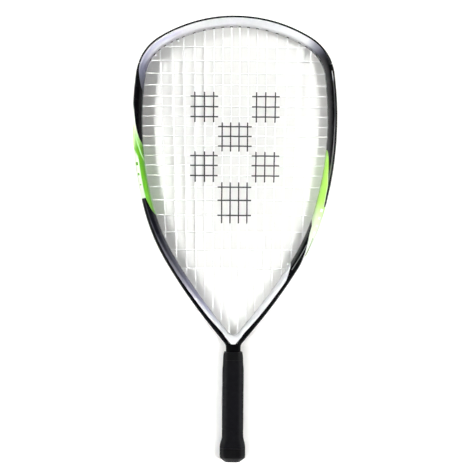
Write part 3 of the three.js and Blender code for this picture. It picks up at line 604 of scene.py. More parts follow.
LEG_FADE_AND_SHEEN = [
    (212, grey(0.05, 1.1)), (242, grey(0.07, 1.25)), (262, grey(0.13, 1.25)), (284, grey(0.2, 1.3)),
    (300, grey(0.36, 1.35)), (314, grey(0.53, 1.3)), (332, WHITE)]
LEG_FADE_AND_SHEEN_EDGE = (9.6, 2.6)
LEFT_BAND = [
    (200, 2.9), (240, 3.5), (275, 3.8), (285, 4.3), (300, 4.9), (320, 5.2), (330, 6.0), (341, 6.8)]
BAND_SOFT = 0.5


def left_paint(s, u, way, depth):
    # white at the tip, lavender and silver down the shoulder, inside a paler strip
    start = place(way_at_column(LEFT_COLUMN))
    strip = shades(s, u, LEFT_STRIP, [(start, WHITE)])
    silver = shades(s, u, LEFT_SILVER, [(start, LEFT_SILVER_START)])
    slant = s.math("MULTIPLY_ADD", depth, LEFT_SILVER_SLANT, way)
    begun = s.step(slant, way_at_column(LEFT_COLUMN) + LEFT_SILVER_AFTER, LEFT_SILVER_SOFT)
    colour = s.mix(s.times(s.step(depth, *LEFT_STRIP_EDGE), begun), strip, silver)
    # painted light: near the tip the shoulder's inner rounded edge is made paler, against the shade the
    # lamps leave there
    above = s.less(1.0, from_row(s, way, *LEFT_PAINTED_LIGHT_END))
    pale = s.times(s.step(depth, *LEFT_PAINTED_LIGHT_EDGE), above)
    colour = tint(s, pale, colour, *LEFT_PAINTED_LIGHT_TINT)
    # black, that comes in from the outer line and leaves again under the green
    # painted sheen: the black turns a lighter grey towards its inner rounded edge
    black = s.mix(s.step(depth, *LEFT_BLACK_SHEEN_EDGE), BLACK, grey(0.016, 1.1))
    edge = line(s, u, LEFT_BLACK_LINE, [(0.0, LEFT_BLACK_START)])
    colour = s.mix(s.step(edge, depth), colour, black)
    green = shades(s, u, GREENS)
    glow = s.times(s.step(GLOW_DEPTH, depth, GLOW_SOFT), between_rows(s, way, *GLOW_ROWS))
    green = tint(s, glow, green, *GLOW_TINT)
    green = tint(s, s.step(depth, *GREEN_INNER_EDGE), green, *GREEN_INNER_TINT)
    shown = s.step(line(s, u, GREEN_LINE), depth, GREEN_LINE_SOFT)
    colour = s.mix(s.times(shown, from_row(s, way, GREEN_START)), colour, green)
    streak = near(s, depth, line(s, u, STREAK_LINE), *STREAK_WIDTH)
    colour = s.mix(s.times(from_row(s, way, *STREAK_START), streak), colour, STREAK)
    # the bare pale panel at the outer edge, with a few plain dashes
    panel = s.step(line(s, u, PANEL_LINE), depth, PANEL_LINE_SOFT)
    colour = s.mix(s.times(panel, from_row(s, way, *PANEL_START)), colour, PANEL)
    colour = dashes(s, way, depth, colour, GREEN, LEFT_DASHES, **LEFT_DASH)
    # the lower leg: black that turns to silver, lavender and white towards the throat
    # the inner rounded edge fades to white with the paint, and is lighter than the rest of the leg: a
    # painted sheen
    lower = s.mix(s.step(depth, *LEG_FADE_AND_SHEEN_EDGE), shades(s, u, VALLEY), shades(s, u, LEG_FADE_AND_SHEEN))
    # a light stripe along the leg: partly the paint's own stripe, partly a painted highlight
    stripe_and_highlight = near(s, depth, line(s, u, STRIPE_AND_HIGHLIGHT_LINE), line(s, u, STRIPE_AND_HIGHLIGHT_HALF), STRIPE_AND_HIGHLIGHT_SOFT)
    lower = s.mix(stripe_and_highlight, lower, shades(s, u, STRIPE_AND_HIGHLIGHT))
    ended = from_row(s, way, *LEFT_LEG_START)
    colour = s.mix(s.times(ended, s.step(line(s, u, LEFT_LEG_LINE), depth)), colour, lower)
    return s.mix(s.times(ended, s.step(line(s, u, LEFT_BAND), depth, BAND_SOFT)), colour, BLACK)


# Paint of the right side, in the same form. A stroke is its line, half width, two ends and colour.
RIGHT_FADE = [
    (36.4, WHITE), (38, (0.74, 0.75, 0.78)), (41, (0.39, 0.4, 0.46)), (44, (0.25, 0.26, 0.3)),
    (48, (0.11, 0.11, 0.14)), (52, (0.045, 0.045, 0.055)), (58, (0.01, 0.01, 0.012)), (66, BLACK)]
RIGHT_INNER_SHEEN_START = (53, 18)
RIGHT_INNER_SHEEN_EDGE = (9.0, 7.0)
RIGHT_INNER_SHEEN = grey(0.085)
RIGHT_OUTER_DEPTH = 2.6
GLEAMS = [
    (69, BLACK), (72, grey(0.6)), (77, grey(0.5)), (82, grey(0.12)), (96, grey(0.07)), (115, grey(0.06)),
    (132, grey(0.11)), (150, grey(0.2)), (176, (0.2, 0.24, 0.16))]
GLEAM = ([(68, 3.0), (115, 3.1), (132, 3.6), (175, 3.7)], (0.7,), ((70, 2), (181, 8)))
LIMES = [
    (150, (0.36, 0.66, 0.2)), (161, LIME), (202, LIME), (209, (0.62, 0.93, 0.3)),
    (219, (0.8, 0.95, 0.62)), (238, (0.84, 0.93, 0.76)), (258, WHITE)]
LIME_RIM = [(196, (0.6, 0.9, 0.36)), (224, (0.8, 0.94, 0.66)), (244, WHITE)]
LIME_RIM_EDGE = (10.4, 2.0)
LIME_RIM_SHARE = 0.3
WEDGE_LINE = [
    (149.5, 12.5), (152, 10.2), (158, 8.5), (165, 7.1), (175, 5.6), (185, 3.5), (195, 3.0), (206.7, 2.1)]
WEDGE_START = (148.5, 0.5)
WEDGE_END = (206.7, 0.4)
WEDGE_BORDER_INWARD = 0.6
WEDGE_BORDER_HALF = 0.5
WEDGE_BORDER_START = (172, 12)
WEDGE_BORDER_TINT = ((0.76, 0.95, 0.56), 0.7)
RIGHT_DASHES = [(209, 3.4), (217, 3.0), (225, 2.6), (232, 2.2)]
RIGHT_DASH = dict(drop=0.7, half=0.6, edge=2.0, inward=0.5, soft=0.4)
THIN = ([(236, 2.4), (250, 0.8)], (0.4, 0.4), ((238, 1), (256, 3)), (0.3, 0.48, 0.14))
SWEEP_START = 218
SWEEP_OUTER_LINE = [
    (221, 12.6), (228, 9.3), (236, 8.2), (244, 5.7), (252, 3.1), (260, 1.3), (266, 0)]
SWEEP_OUTER_END = (265, 1.0)
SWEEP_INNER_LINE = [
    (266, 13), (270, 9.8), (276, 7.0), (282, 4.5), (300, 4.9), (320, 5.3), (330, 6.0), (341, 6.8)]
SWEEP_SHEEN_EDGE = (9.4, 2.4)
SWEEP_SHEEN = grey(0.075)
PIN = ([(246, 5.6), (272, 6.1)], (0.5, 0.5), ((246, 3), (272, 1)), grey(0.24))


def right_paint(s, u, way, depth):
    # white that fades through silver to black
    # painted sheen: the black bar's inner rounded edge is a lighter grey
    inner = s.times(from_row(s, way, *RIGHT_INNER_SHEEN_START), s.step(depth, *RIGHT_INNER_SHEEN_EDGE))
    colour = s.mix(inner, shades(s, u, RIGHT_FADE), RIGHT_INNER_SHEEN)
    colour = stroke(s, u, way, depth, colour, *GLEAM, shades(s, u, GLEAMS))
    colour = s.mix(s.step(RIGHT_OUTER_DEPTH, depth), colour, BLACK)
    # the lime wedge, growing from the inner edge, with a pale line along its border
    inside = s.step(depth, *LIME_RIM_EDGE)
    lime = tint(s, inside, shades(s, u, LIMES), shades(s, u, LIME_RIM), LIME_RIM_SHARE)
    ended = from_row(s, way, *WEDGE_END)
    wedge = line(s, u, WEDGE_LINE)
    colour = s.mix(s.times(from_row(s, way, *WEDGE_START), s.step(depth, wedge)), colour, lime)
    border = near(s, depth, s.math("ADD", wedge, WEDGE_BORDER_INWARD), WEDGE_BORDER_HALF)
    shown = s.less(from_row(s, way, *WEDGE_BORDER_START), ended)
    colour = tint(s, s.times(border, shown), colour, *WEDGE_BORDER_TINT)
    colour = s.mix(ended, colour, lime)
    # plain pale dashes that shrink down the wedge, and a thin green line below them
    colour = dashes(s, way, depth, colour, WHITE, RIGHT_DASHES, **RIGHT_DASH)
    colour = stroke(s, u, way, depth, colour, *THIN)
    # the black sweep from the inner edge out to the leg's band
    outside = s.step(depth, line(s, u, SWEEP_OUTER_LINE))
    outside = s.math("MAXIMUM", outside, from_row(s, way, *SWEEP_OUTER_END))
    sweep = s.times(outside, s.step(line(s, u, SWEEP_INNER_LINE), depth))
    sweep = s.times(sweep, from_row(s, way, SWEEP_START))
    # painted sheen: the sweep's inner rounded edge is a lighter grey
    dark = s.mix(s.step(depth, *SWEEP_SHEEN_EDGE), BLACK, SWEEP_SHEEN)
    dark = stroke(s, u, way, depth, dark, *PIN)
    return s.mix(sweep, colour, dark)


def neck_mask(s):
    """1 below the curved lower end of the white throat, where the neck is black."""
    x, y = s.position()
    aside = s.times(s.math("ABSOLUTE", x), 1 / (NECK_SPAN * MM))
    drop = (HALF - (NECK_ROW - TIP_ROW) * PIXEL) * MM
    border = s.math("MULTIPLY_ADD", s.curve(aside, NECK_CURVE, 1), NECK_RISE * MM, drop)
    return s.step(border, y, NECK_SOFT * MM)


def frame_colour(s):
    signed = s.attribute("way")
    depth = s.attribute("depth")
    way = s.math("ABSOLUTE", signed)
    u = s.math("DIVIDE", way, WAY_END)
    return s.mix(s.step(signed, 0.0, 2.0), left_paint(s, u, way, depth), right_paint(s, u, way, depth))


def leg_depth(s):
    """How far a point lies in from the straight outer edge of its leg, in millimetres."""
    corner = at(FILLET_START, 0)
    inward = at(FILLET_START, 1) - corner
    x, y = s.position()
    aside = s.times(s.math("ABSOLUTE", x), inward.x / MM)
    along = s.math("MULTIPLY_ADD", y, inward.y / MM, aside)
    return s.less(along, corner.dot(inward))


def web_colour(s):
    return s.mix(s.step(THROAT_LINE, leg_depth(s), BAND_SOFT), WHITE, BLACK)


def lacquer(name, paint, low, high):
    """Painted frame, black on the neck, with a roughness between two values."""
    s = Shade(name, 0.24, Coat_Weight=0.06, Coat_Roughness=0.08, Specular_IOR_Level=0.08)
    colour = paint(s)
    s.colour(s.mix(neck_mask(s), colour, BLACK))
    s.vary(s.noise(90, 4), low, high)
    s.bump(s.noise(1400, 2), 0.05, 0.00005)
    return s.material


def plain_plastic(name, colour, rough, grain, **settings):
    s = Shade(name, rough, **settings)
    speckle = s.noise(260, 4)
    dark = tuple(0.82 * c for c in colour)
    s.colour(s.mix(speckle, colour, dark))
    s.vary(s.noise(120, 4), rough - 0.06, rough + 0.08)
    s.bump(s.noise(grain, 3), 0.12, 0.00008)
    return s.material


def string_material():
    s = Shade("string_nylon", 0.34, Subsurface_Weight=0.15, Subsurface_Radius=(1, 1, 1),
              Subsurface_Scale=0.0006, IOR=1.5)
    x, y = s.position()
    ink = 0.0
    for left, right, low, high in stencil_blocks():
        across = s.less(*[s.step(x, edge * MM, INK_SOFT * MM) for edge in (left, right)])
        along = s.less(*[s.step(y, edge * MM, INK_SOFT * MM) for edge in (low, high)])
        ink = s.math("ADD", ink, s.times(across, along), clamp=True)
    worn = s.times(ink, s.math("MULTIPLY_ADD", s.noise(900, 2), -0.25, 1.08, clamp=True))
    s.colour(s.mix(worn, (0.98, 0.985, 0.975), (0.006, 0.006, 0.007)))
    s.vary(s.noise(500, 3), 0.26, 0.42)
    s.bump(s.noise(2600, 2), 0.08, 0.00004)
    return s.material


def rubber(name, colour, rough, cell, depth):
    s = Shade(name, rough, Specular_IOR_Level=0.26)
    patches = s.noise(70, 4)
    s.colour(s.mix(patches, colour, tuple(1.5 * c for c in colour)))
    s.vary(s.noise(200, 4), rough - 0.08, rough + 0.08)
    pores = s.times(s.cells(cell), 0.6)
    s.bump(s.math("ADD", pores, s.times(s.noise(cell * 0.6, 4), 0.5)), 0.35, depth)
    return s.material


def steel():
    s = Shade("staple_steel", 0.3, Metallic=1.0)
    grain = s.noise(900, 3, (1, 0.1, 1))
    s.colour(s.mix(grain, (0.5, 0.5, 0.51), (0.64, 0.64, 0.65)))
    s.vary(grain, 0.25, 0.4)
    s.bump(grain, 0.1, 0.00005)
    return s.material


PAINT = lacquer("frame_paint", frame_colour, 0.2, 0.3)
BRIDGE = lacquer("bridge_paint", web_colour, 0.22, 0.32)
GUARD = plain_plastic("guard_plastic", (0.005, 0.005, 0.006), 0.34, 900, Specular_IOR_Level=0.25)
STRIP = plain_plastic("strip_plastic", (0.7, 0.72, 0.71), 0.34, 900, Transmission_Weight=0.15)
NYLON = string_material()
GRIP = rubber("grip_rubber", (0.0028, 0.0027, 0.0042), 0.6, 1500, 0.00012)
CAP = rubber("cap_rubber", (0.0024, 0.0024, 0.003), 0.52, 1100, 0.00006)
FOAM = plain_plastic("core_foam", (0.02, 0.02, 0.021), 0.8, 700, Specular_IOR_Level=0.2)
STEEL = steel()


# Frame tube: the smooth hairpin with its outer groove, which steps out where the bumper guard ends

WAY_STEP = 2.0
SEAT_STEP_HALF = 0.4
GROOVE_BEVEL = 0.25
GROOVE_LIP = 0.3
LEAST_FLAT = 1
CORNER_TURNS = [math.radians(15 * k) for k in range(7)]


def frame_half(way):
    """The upper half of the frame's section, as depths and heights from the groove to the inner side."""
    seat = BUMPER_SEAT * (1 - smooth(abs(way), BUMPER_REACH - SEAT_STEP_HALF, BUMPER_REACH + SEAT_STEP_HALF))
    width = frame_width(way)
    half = frame_depth(way) / 2
    out = smooth(abs(way), LAST_HOLE + STRIP_RUN_OUT, LAST_HOLE + GROOVE_RUN_OUT)
    bottom = lerp(CHANNEL_FLOOR + CHANNEL_WALL + CLEARANCE, seat, out)
    groove = CHANNEL_HALF + CHANNEL_WALL + CLEARANCE
    inner = lerp(TIP_INNER_CORNER, FRAME_CORNER, smooth(abs(way), *TIP_CORNER_CHANGE))
    inner = min(inner, width - FRAME_CORNER - seat - LEAST_FLAT)
    points = [(bottom, 0.0), (bottom, groove - GROOVE_BEVEL), (seat + GROOVE_BEVEL, groove),
              (seat, groove + GROOVE_LIP)]
    for a in CORNER_TURNS:
        height = half - FRAME_CORNER + FRAME_CORNER * math.sin(a)
        points.append((seat + FRAME_CORNER * (1 - math.cos(a)), height))
    points.append(((points[-1][0] + width - inner) / 2, half))
    for a in reversed(CORNER_TURNS):
        points.append((width - inner * (1 - math.cos(a)), half - inner + inner * math.sin(a)))
    return points + [(width, 0.0)]


def frame_piece():
    ways = between(-WAY_END, WAY_END, WAY_STEP)
    ways += [side * (BUMPER_REACH + SEAT_STEP_HALF * k / 2) for side in (-1, 1) for k in range(-2, 3)]
    ways.sort()
    rings, way_data, depth_data = [], [], []
    for way in ways:
        half = frame_half(way)
        section = half + [(depth, -z) for depth, z in reversed(half[1:-1])]
        rings.append([at(way, depth, z) for depth, z in section])
        scale = FRAME_WIDTH / frame_width(way)
        way_data += [way] * len(section)
        depth_data += [depth * scale for depth, _ in section]
    make("frame_body", loft(rings), PAINT, "frame_paint", ("frame_tube",), sharp=38,
         data={"way": way_data, "depth": depth_data})


# Throat web: the moulded skin that joins the two legs below the strings and fills the neck

WEB_RADIUS = 8
WEB_STEPS = 28
WEB_FLATS = 8
WEB_END = 422.0
WEB_CREST = 5.5
WEB_LIFT = 0.04


def leg_at(y):
    return crossing(lambda way: at(way, 0).y - y, WIDEST, WAY_END)


def web_piece():
    leg = crossing(lambda way: at(way, FRAME_WIDTH + WEB_RADIUS).x, WIDEST, FILLET_START)
    inner = at(leg, FRAME_WIDTH)
    centre = at(leg, FRAME_WIDTH + WEB_RADIUS)
    turn = math.atan2(inner.y - centre.y, inner.x)
    low = HALF - WEB_END
    crest = [at(way, WEB_CREST) for way in between(leg, leg_at(low), WAY_STEP)]
    crest.append(Vector((0, low, PLANE)))
    border = spaced(crest, [1 - k / WEB_STEPS for k in range(WEB_STEPS + 1)])
    rings = []
    for i in range(-WEB_STEPS, WEB_STEPS + 1):
        share = abs(i) / WEB_STEPS
        side = -1 if i < 0 else 1
        angle = lerp(-math.pi / 2, turn, share)
        ray = Vector((math.cos(angle), math.sin(angle), 0))
        end = border[abs(i)]
        half = []
        for a in CORNER_TURNS:
            spot = centre + ray * (WEB_RADIUS + FRAME_CORNER * (1 - math.cos(a)))
            half.append((spot, FRAME_CORNER - FRAME_CORNER * math.sin(a)))
        last = half[-1][0]
        half += [(last.lerp(end, k / WEB_FLATS), 0.0) for k in range(1, WEB_FLATS + 1)]
        top = []
        for spot, sunk in half:
            height = frame_depth(leg_at(spot.y)) / 2 + WEB_LIFT - sunk
            top.append((side * spot.x, spot.y, height))
        ring = [Vector((x, y, PLANE + z)) for x, y, z in top]
        ring += [Vector((x, y, PLANE - z)) for x, y, z in reversed(top)]
        rings.append(ring)
    make("throat_web", loft(rings), BRIDGE, "bridge_paint", ("throat_bridge",), sharp=50)


# Bumper guard and grommet strips, each a channel with a barrel round every string hole

STRIP_STEP = 2.5
STRIP_FACE = 0.62
STRIP_BEVEL = 0.2
BARREL_PROFILE = [
    (-0.6, 1.85), (0.1, 1.8), (0.6, BARREL_RADIUS), (BARREL_PROTRUSION, 1.45), (BARREL_PROTRUSION, 1.0),
    (-0.3, 0.92)]
BARREL_TURNS = [2 * math.pi * i / 14 for i in range(14)]
PROBE_DEPTH = 10


def barrel(way):
    """The end of a barrel that shows on the inner side of the frame."""
    inward = (at(way, PROBE_DEPTH) - at(way, 0)).normalized()
    along = Vector((-inward.y, inward.x, 0))
    rings = []
    for depth, radius in BARREL_PROFILE:
        centre = at(way, frame_width(way) + depth)
        rings.append([centre + along * radius * math.cos(a) + Vector((0, 0, radius * math.sin(a)))
                      for a in BARREL_TURNS])
    return loft(rings)


def strip(name, ways, section, holes, material, slot, node):
    full = section + [(depth, -z) for depth, z in reversed(section)]
    rings = [[at(way, depth, z) for depth, z in full] for way in ways]
    parts = [loft(rings)] + [barrel(way) for way in holes]
    make(name, gather(parts), material, slot, (node,), sharp=50)


def bumper_section():
    seat = BUMPER_SEAT + FRAME_CORNER
    shoulder = FRAME_DEPTH / 2 - FRAME_CORNER

    def bend(radius, turn):
        a = math.radians(turn)
        return seat - radius * math.cos(a), shoulder + radius * math.sin(a)

    outer = [bend(seat, turn) for turn in (0, 8, 16, 24)]
    edge = [bend(seat - 0.25, BUMPER_WRAP - 1), bend(seat - 0.7, BUMPER_WRAP),
            bend(FRAME_CORNER + 0.5, BUMPER_WRAP)]
    inner = [bend(FRAME_CORNER + CLEARANCE, turn) for turn in (BUMPER_WRAP - 2, 18, 9, 0)]
    lip = [(CHANNEL_FLOOR, CHANNEL_HALF), (0.4, CHANNEL_HALF), (0.12, CHANNEL_HALF + 0.12),
           (0, CHANNEL_HALF + 0.4)]
    wall = CHANNEL_HALF + CHANNEL_WALL
    back = [(BUMPER_THICKNESS, wall), (CHANNEL_FLOOR + CHANNEL_WALL, wall)]
    return lip + outer + edge + inner + back


def strip_section():
    wall = CHANNEL_HALF + CHANNEL_WALL
    edge = STRIP_FACE + STRIP_BEVEL * 0.9
    return [(CHANNEL_FLOOR, CHANNEL_HALF), (edge, CHANNEL_HALF), (STRIP_FACE, CHANNEL_HALF + STRIP_BEVEL),
            (STRIP_FACE, wall - STRIP_BEVEL), (edge, wall), (CHANNEL_FLOOR + CHANNEL_WALL, wall)]


def strips():
    reach = BUMPER_REACH - STRIP_JOINT
    strip("bumper", between(-reach, reach, STRIP_STEP), bumper_section(),
          [way for way in HOLES if abs(way) < reach], GUARD, "guard_plastic", "bumper_guard")
    end = LAST_HOLE + STRIP_RUN_OUT - STRIP_JOINT
    for side, name in ((-1, "left"), (1, "right")):
        for low, high, node in ((BUMPER_REACH + STRIP_JOINT, SIDE_END, f"grommet_strip_{name}"),
                                (SIDE_END + STRIP_JOINT, end, f"throat_grommet_strip_{name}")):
            ways = sorted(side * way for way in between(low, high, STRIP_STEP))
            holes = [way for way in HOLES if low < side * way < high]
            strip(f"{node}_moulding", ways, strip_section(), holes, STRIP, "strip_plastic", node)


# Strings: round tubes that weave over and under each other and loop in the channel

TUBE_TURNS = [2 * math.pi * i / 8 for i in range(8)]
CORNER_CUT = 0.25
WEAVE_STEPS = 6
INSIDE_DEPTH = 6
BEND_DEPTHS = (CHANNEL_FLOOR + 0.6, CHANNEL_FLOOR - 0.7)
LOOP_DEPTH = 1.55
LOOP_START = 2.0
LOOP_STEP = 3
KNOT_PROFILE = [(0, 0.65), (0.35, 1.15), (0.9, 1.3), (1.7, 1.3), (2.2, 1.1), (2.6, 0.55)]
LEAST_RUN = 2.6


def tube(path):
    """A tube through a path of points, each with its radius."""
    rings = []
    up = Vector((0, 0, 1))
    for k, (point, radius) in enumerate(path):
        before = path[max(0, k - 1)][0]
        after = path[min(len(path) - 1, k + 1)][0]
        way = (after - before).normalized()
        side = way.cross(up).normalized()
        top = side.cross(way)
        rings.append([point + (side * math.cos(a) - top * math.sin(a)) * radius
                      for a in TUBE_TURNS])
    return loft(rings)


def rounded(points):
    """A path with its corners cut twice, ends kept."""
    for _ in range(2):
        cut = [points[0]]
        for a, b in zip(points, points[1:]):
            cut += [a.lerp(b, CORNER_CUT), a.lerp(b, 1 - CORNER_CUT)]
        points = cut + [points[-1]]
    return points


def woven(heights):
    """Points along one run: heights is a list of the point and height at each crossing and both mouths."""
    out = []
    for (a, za), (b, zb) in zip(heights, heights[1:]):
        for i in range(WEAVE_STEPS):
            t = i / WEAVE_STEPS
            point = a.lerp(b, t)
            swing = (1 - math.cos(math.pi * t)) / 2
            out.append(Vector((point.x, point.y, PLANE + lerp(za, zb, swing))))
    last, z = heights[-1]
    return out + [Vector((last.x, last.y, PLANE + z))]


def loop(from_way, to_way, lane):
    step = math.copysign(LOOP_START, to_way - from_way)
    low, high = from_way + step, to_way - step
    count = max(2, math.ceil(abs(high - low) / LOOP_STEP))
    return [at(lerp(low, high, i / count), LOOP_DEPTH, lane) for i in range(count + 1)]


def turn_round(from_way, to_way, lane):
    """From inside one hole, round the channel and into the next."""
    out = [at(from_way, depth) for depth in (INSIDE_DEPTH, *BEND_DEPTHS)]
    back = [at(to_way, depth) for depth in (*reversed(BEND_DEPTHS), INSIDE_DEPTH)]
    return rounded(out + loop(from_way, to_way, lane) + back)


def tie(from_way, to_way, lane):
    """The end of a string: from inside one hole into the next, and its knot there."""
    rim = frame_width(to_way) + BARREL_PROTRUSION + CLEARANCE
    path = [(point, STRING_RADIUS) for point in turn_round(from_way, to_way, lane)]
    for depth, radius in KNOT_PROFILE:
        path.append((at(to_way, rim + depth), radius))
    return path


LEFT_RUNS = [(lambda y, f=x_at: -f(y), -head, -throat) for x_at, head, throat in reversed(HALF_MAINS)]
RUNS = LEFT_RUNS + HALF_MAINS


def meets(run, row):
    """Whether a main crosses a cross clear of the frame."""
    x_at, _, throat = run
    y, way = row
    return abs(x_at(y)) < mouth(way).x - LEAST_RUN and y > mouth(abs(throat)).y + LEAST_RUN


def crossing_side(main, cross):
    return -1 if (main + cross) % 2 else 1


def string_path(runs, start_tie, end_tie, lane):
    """A string through its runs in turn, each the ways of its two holes and its points with heights."""
    path = list(reversed(tie(runs[0][0], start_tie, lane)))
    for index, (_, last, heights) in enumerate(runs):
        path += [(point, thickness(point)) for point in woven(heights)]
        if index + 1 < len(runs):
            path += [(point, STRING_RADIUS) for point in turn_round(last, runs[index + 1][0], lane)]
    return path + tie(runs[-1][1], end_tie, lane)


def main_string():
    runs = []
    for index, run in enumerate(RUNS):
        x_at, head, throat = run
        heights = [(mouth(head), 0.0)]
        for cross, row in enumerate(ROWS):
            if meets(run, row):
                heights.append((Vector((x_at(row[0]), row[0], 0)), crossing_side(index, cross) * WEAVE))
        heights.append((mouth(throat), 0.0))
        runs.append((throat, head, heights[::-1]) if index % 2 else (head, throat, heights))
    shape = tube(string_path(runs, -MAIN_TIE, MAIN_TIE, LANE))
    make("mains", shape, NYLON, "string", ("main_string",), sharp=60)


def cross_string():
    runs = []
    for index, row in enumerate(ROWS):
        y, way = row
        heights = [(mouth(-way), 0.0)]
        for main, run in enumerate(RUNS):
            if meets(run, row):
                heights.append((Vector((run[0](y), y, 0)), -crossing_side(main, index) * WEAVE))
        heights.append((mouth(way), 0.0))
        runs.append((way, -way, heights[::-1]) if index % 2 else (-way, way, heights))
    shape = tube(string_path(runs, TOP_TIE, BOTTOM_TIE, -LANE))
    make("crosses", shape, NYLON, "string", ("cross_string",), sharp=60)


# Handle

PALLET_WIDTH = 23.6
PALLET_DEPTH = 22.8
NECK_LENGTH = 9.4
GRIP_INSET = 7.2
GRIP_THICKNESS = 1.6
GRIP_PITCH = 24
GRIP_TAPER = 15
GRIP_TOP_SLIM = 0.8
FLARE_LENGTH = 14
FLARE_HEIGHT = 2.6
COLLAR_LENGTH = 10
BUTT_HEIGHT = 18.1
BUTT_LIP = 16
CORD_HOLE = 8
GRIP_HALF = PALLET_WIDTH / 2 + GRIP_THICKNESS
GRIP_DEEP = PALLET_DEPTH / 2 + GRIP_THICKNESS
LIP_DEPTH = BUTT_LIP + (PALLET_DEPTH - PALLET_WIDTH) / 2
OCTAGON_CORNER = 5.8
OCTAGON_ROUND = 1.6
SIDES = 96

# The grip's ends, rounded so that the last digit of a sum moves no point over the lap's edge
GRIP_TOP = round(LENGTH - HANDLE_LENGTH + NECK_LENGTH + GRIP_INSET, 1)
GRIP_END = round(LENGTH - BUTT_HEIGHT, 1)

# The grip's surface: the seam, the lap and the hem are dips with a depth and a width
GRIP_STEP = 0.55
SEAM_PHASE = 0.15
SEAM_DIP = (0.32, 0.55)
LAP_DIP = (0.12, 2.4)
HEM_DIP = (0.6, 0.7)
HEM_LEVEL = 520
HEM_SLANT = 0.2
GRIP_EDGE = 0.2
GRIP_EDGE_LENGTH = 0.5
GRIP_WALL = 1.9

# Profiles of the collar and of the cap: how far down, how much slimmer, and the octagon's corner
COLLAR_PROFILE = [
    (0.0, 2.2, 5.6), (0.2, 1.5, 5.5), (0.6, 1.1, 5.4), (1.4, 0.85, 5.5), (3.0, 0.6, 5.6), (5.0, 0.3, 5.7),
    (7.5, 0.1, 5.8), (9.6, 0.0, 5.8), (9.9, 0.06, 5.8), (10.0, 0.2, 5.8)]
COLLAR_RIB = 0.22
BUTT_PROFILE = [
    (0.0, 0.4, 5.8), (0.1, 0.15, 5.8), (0.3, 0.0, 5.8), (8.6, 0.0, 5.8), (9.2, 0.1, 5.8), (9.7, 0.5, 5.8),
    (10.1, 0.6, 5.8), (10.5, 0.3, 5.8), (11.2, 0.3, 5.8), (11.8, 0.6, 5.7), (12.6, 1.3, 5.5),
    (14.2, 2.8, 5.0), (15.8, 4.6, 4.4), (17.1, 6.1, 3.7), (17.6, 6.8, 3.3), (17.8, 7.6, 3.0)]
HOLE_PROFILE = [(17.8, 0.4), (17.65, 0.05), (17.2, 0), (14.8, 0)]


def octagon(half_width, half_depth, corner=OCTAGON_CORNER, radius=OCTAGON_ROUND):
    """Points spaced evenly round an octagon with rounded corners, as x and z."""
    w, d, c = half_width, half_depth, corner
    corners = [(w, c - d), (w, d - c), (w - c, d), (c - w, d),
               (-w, d - c), (-w, c - d), (c - w, -d), (w - c, -d)]
    path = []
    for i, point in enumerate(corners):
        before, here, after = Vector(corners[i - 1]), Vector(point), Vector(corners[(i + 1) % 8])
        a = here + (before - here).normalized() * radius
        b = here + (after - here).normalized() * radius
        for k in range(5):
            t = k / 4
            path.append(a.lerp(here, t).lerp(here.lerp(b, t), t))
    return spaced(path + path[:1], [i / SIDES for i in range(SIDES)])


def outward(points):
    """The outward direction at each point of a closed ring."""
    count = len(points)
    out = []
    for i in range(count):
        way = points[(i + 2) % count] - points[i - 2]
        out.append(Vector((way.y, -way.x)).normalized())
    return out


def ring_at(level, points):
    return [Vector((p.x, HALF - level, p.y + PLANE)) for p in points]


def flare(level):
    return FLARE_HEIGHT * smooth(level, GRIP_END - FLARE_LENGTH, GRIP_END)


def dip(gap, depth, width):
    """How deep a soft groove is at a gap from its middle."""
    return depth * math.exp(-(gap / width) ** 2)


def grip_piece():
    rings = []
    for level in between(GRIP_TOP, GRIP_END, GRIP_STEP):
        grow = flare(level) - GRIP_TOP_SLIM * (1 - smooth(level, GRIP_TOP, GRIP_TOP + GRIP_TAPER))
        base = octagon(GRIP_HALF + grow, GRIP_DEEP + grow)
        end = GRIP_EDGE * smooth(level, GRIP_END - GRIP_EDGE_LENGTH, GRIP_END)
        end += GRIP_EDGE * (1 - smooth(level, GRIP_TOP, GRIP_TOP + GRIP_EDGE_LENGTH))
        shaped = []
        for i, (point, out) in enumerate(zip(base, outward(base))):
            phase = ((level - GRIP_TOP) / GRIP_PITCH + i / SIDES + SEAM_PHASE) % 1.0
            sink = dip(min(phase, 1 - phase) * GRIP_PITCH, *SEAM_DIP)
            sink += dip((1 - phase) * GRIP_PITCH, *LAP_DIP)
            sink += dip(level - HEM_LEVEL - HEM_SLANT * point.x, *HEM_DIP)
            shaped.append(point - out * (sink + end))
        rings.append(ring_at(level, shaped))
    inner = octagon(GRIP_HALF - GRIP_WALL, GRIP_DEEP - GRIP_WALL, 4.6)
    rings.insert(0, ring_at(GRIP_TOP + 0.02, inner))
    rings.append(ring_at(GRIP_END - 0.02, inner))
    make("grip_sleeve", loft(rings), GRIP, "grip_rubber", ("grip_wrap",), sharp=60)


def collar_piece():
    top = GRIP_TOP - CLEARANCE - COLLAR_LENGTH
    width, depth = GRIP_HALF - GRIP_TOP_SLIM, GRIP_DEEP - GRIP_TOP_SLIM
    rings = [ring_at(top + 1.4, octagon(9.9, 10.6, 3.4, 0.8))]
    for down, slim, corner in COLLAR_PROFILE:
        base = octagon(width - slim, depth - slim * 0.7, corner - slim * 0.4)
        rib = COLLAR_RIB * smooth(down, 0.8, 2.2) * (1 - smooth(down, 7.6, 8.6))
        shaped = []
        for i, (point, out) in enumerate(zip(base, outward(base))):
            shaped.append(point - out * rib * (0.5 + 0.5 * math.cos(2 * math.pi * i / 6)))
        rings.append(ring_at(top + down, shaped))
    make("collar", loft(rings), CAP, "cap_rubber", ("grip_collar",), sharp=50)


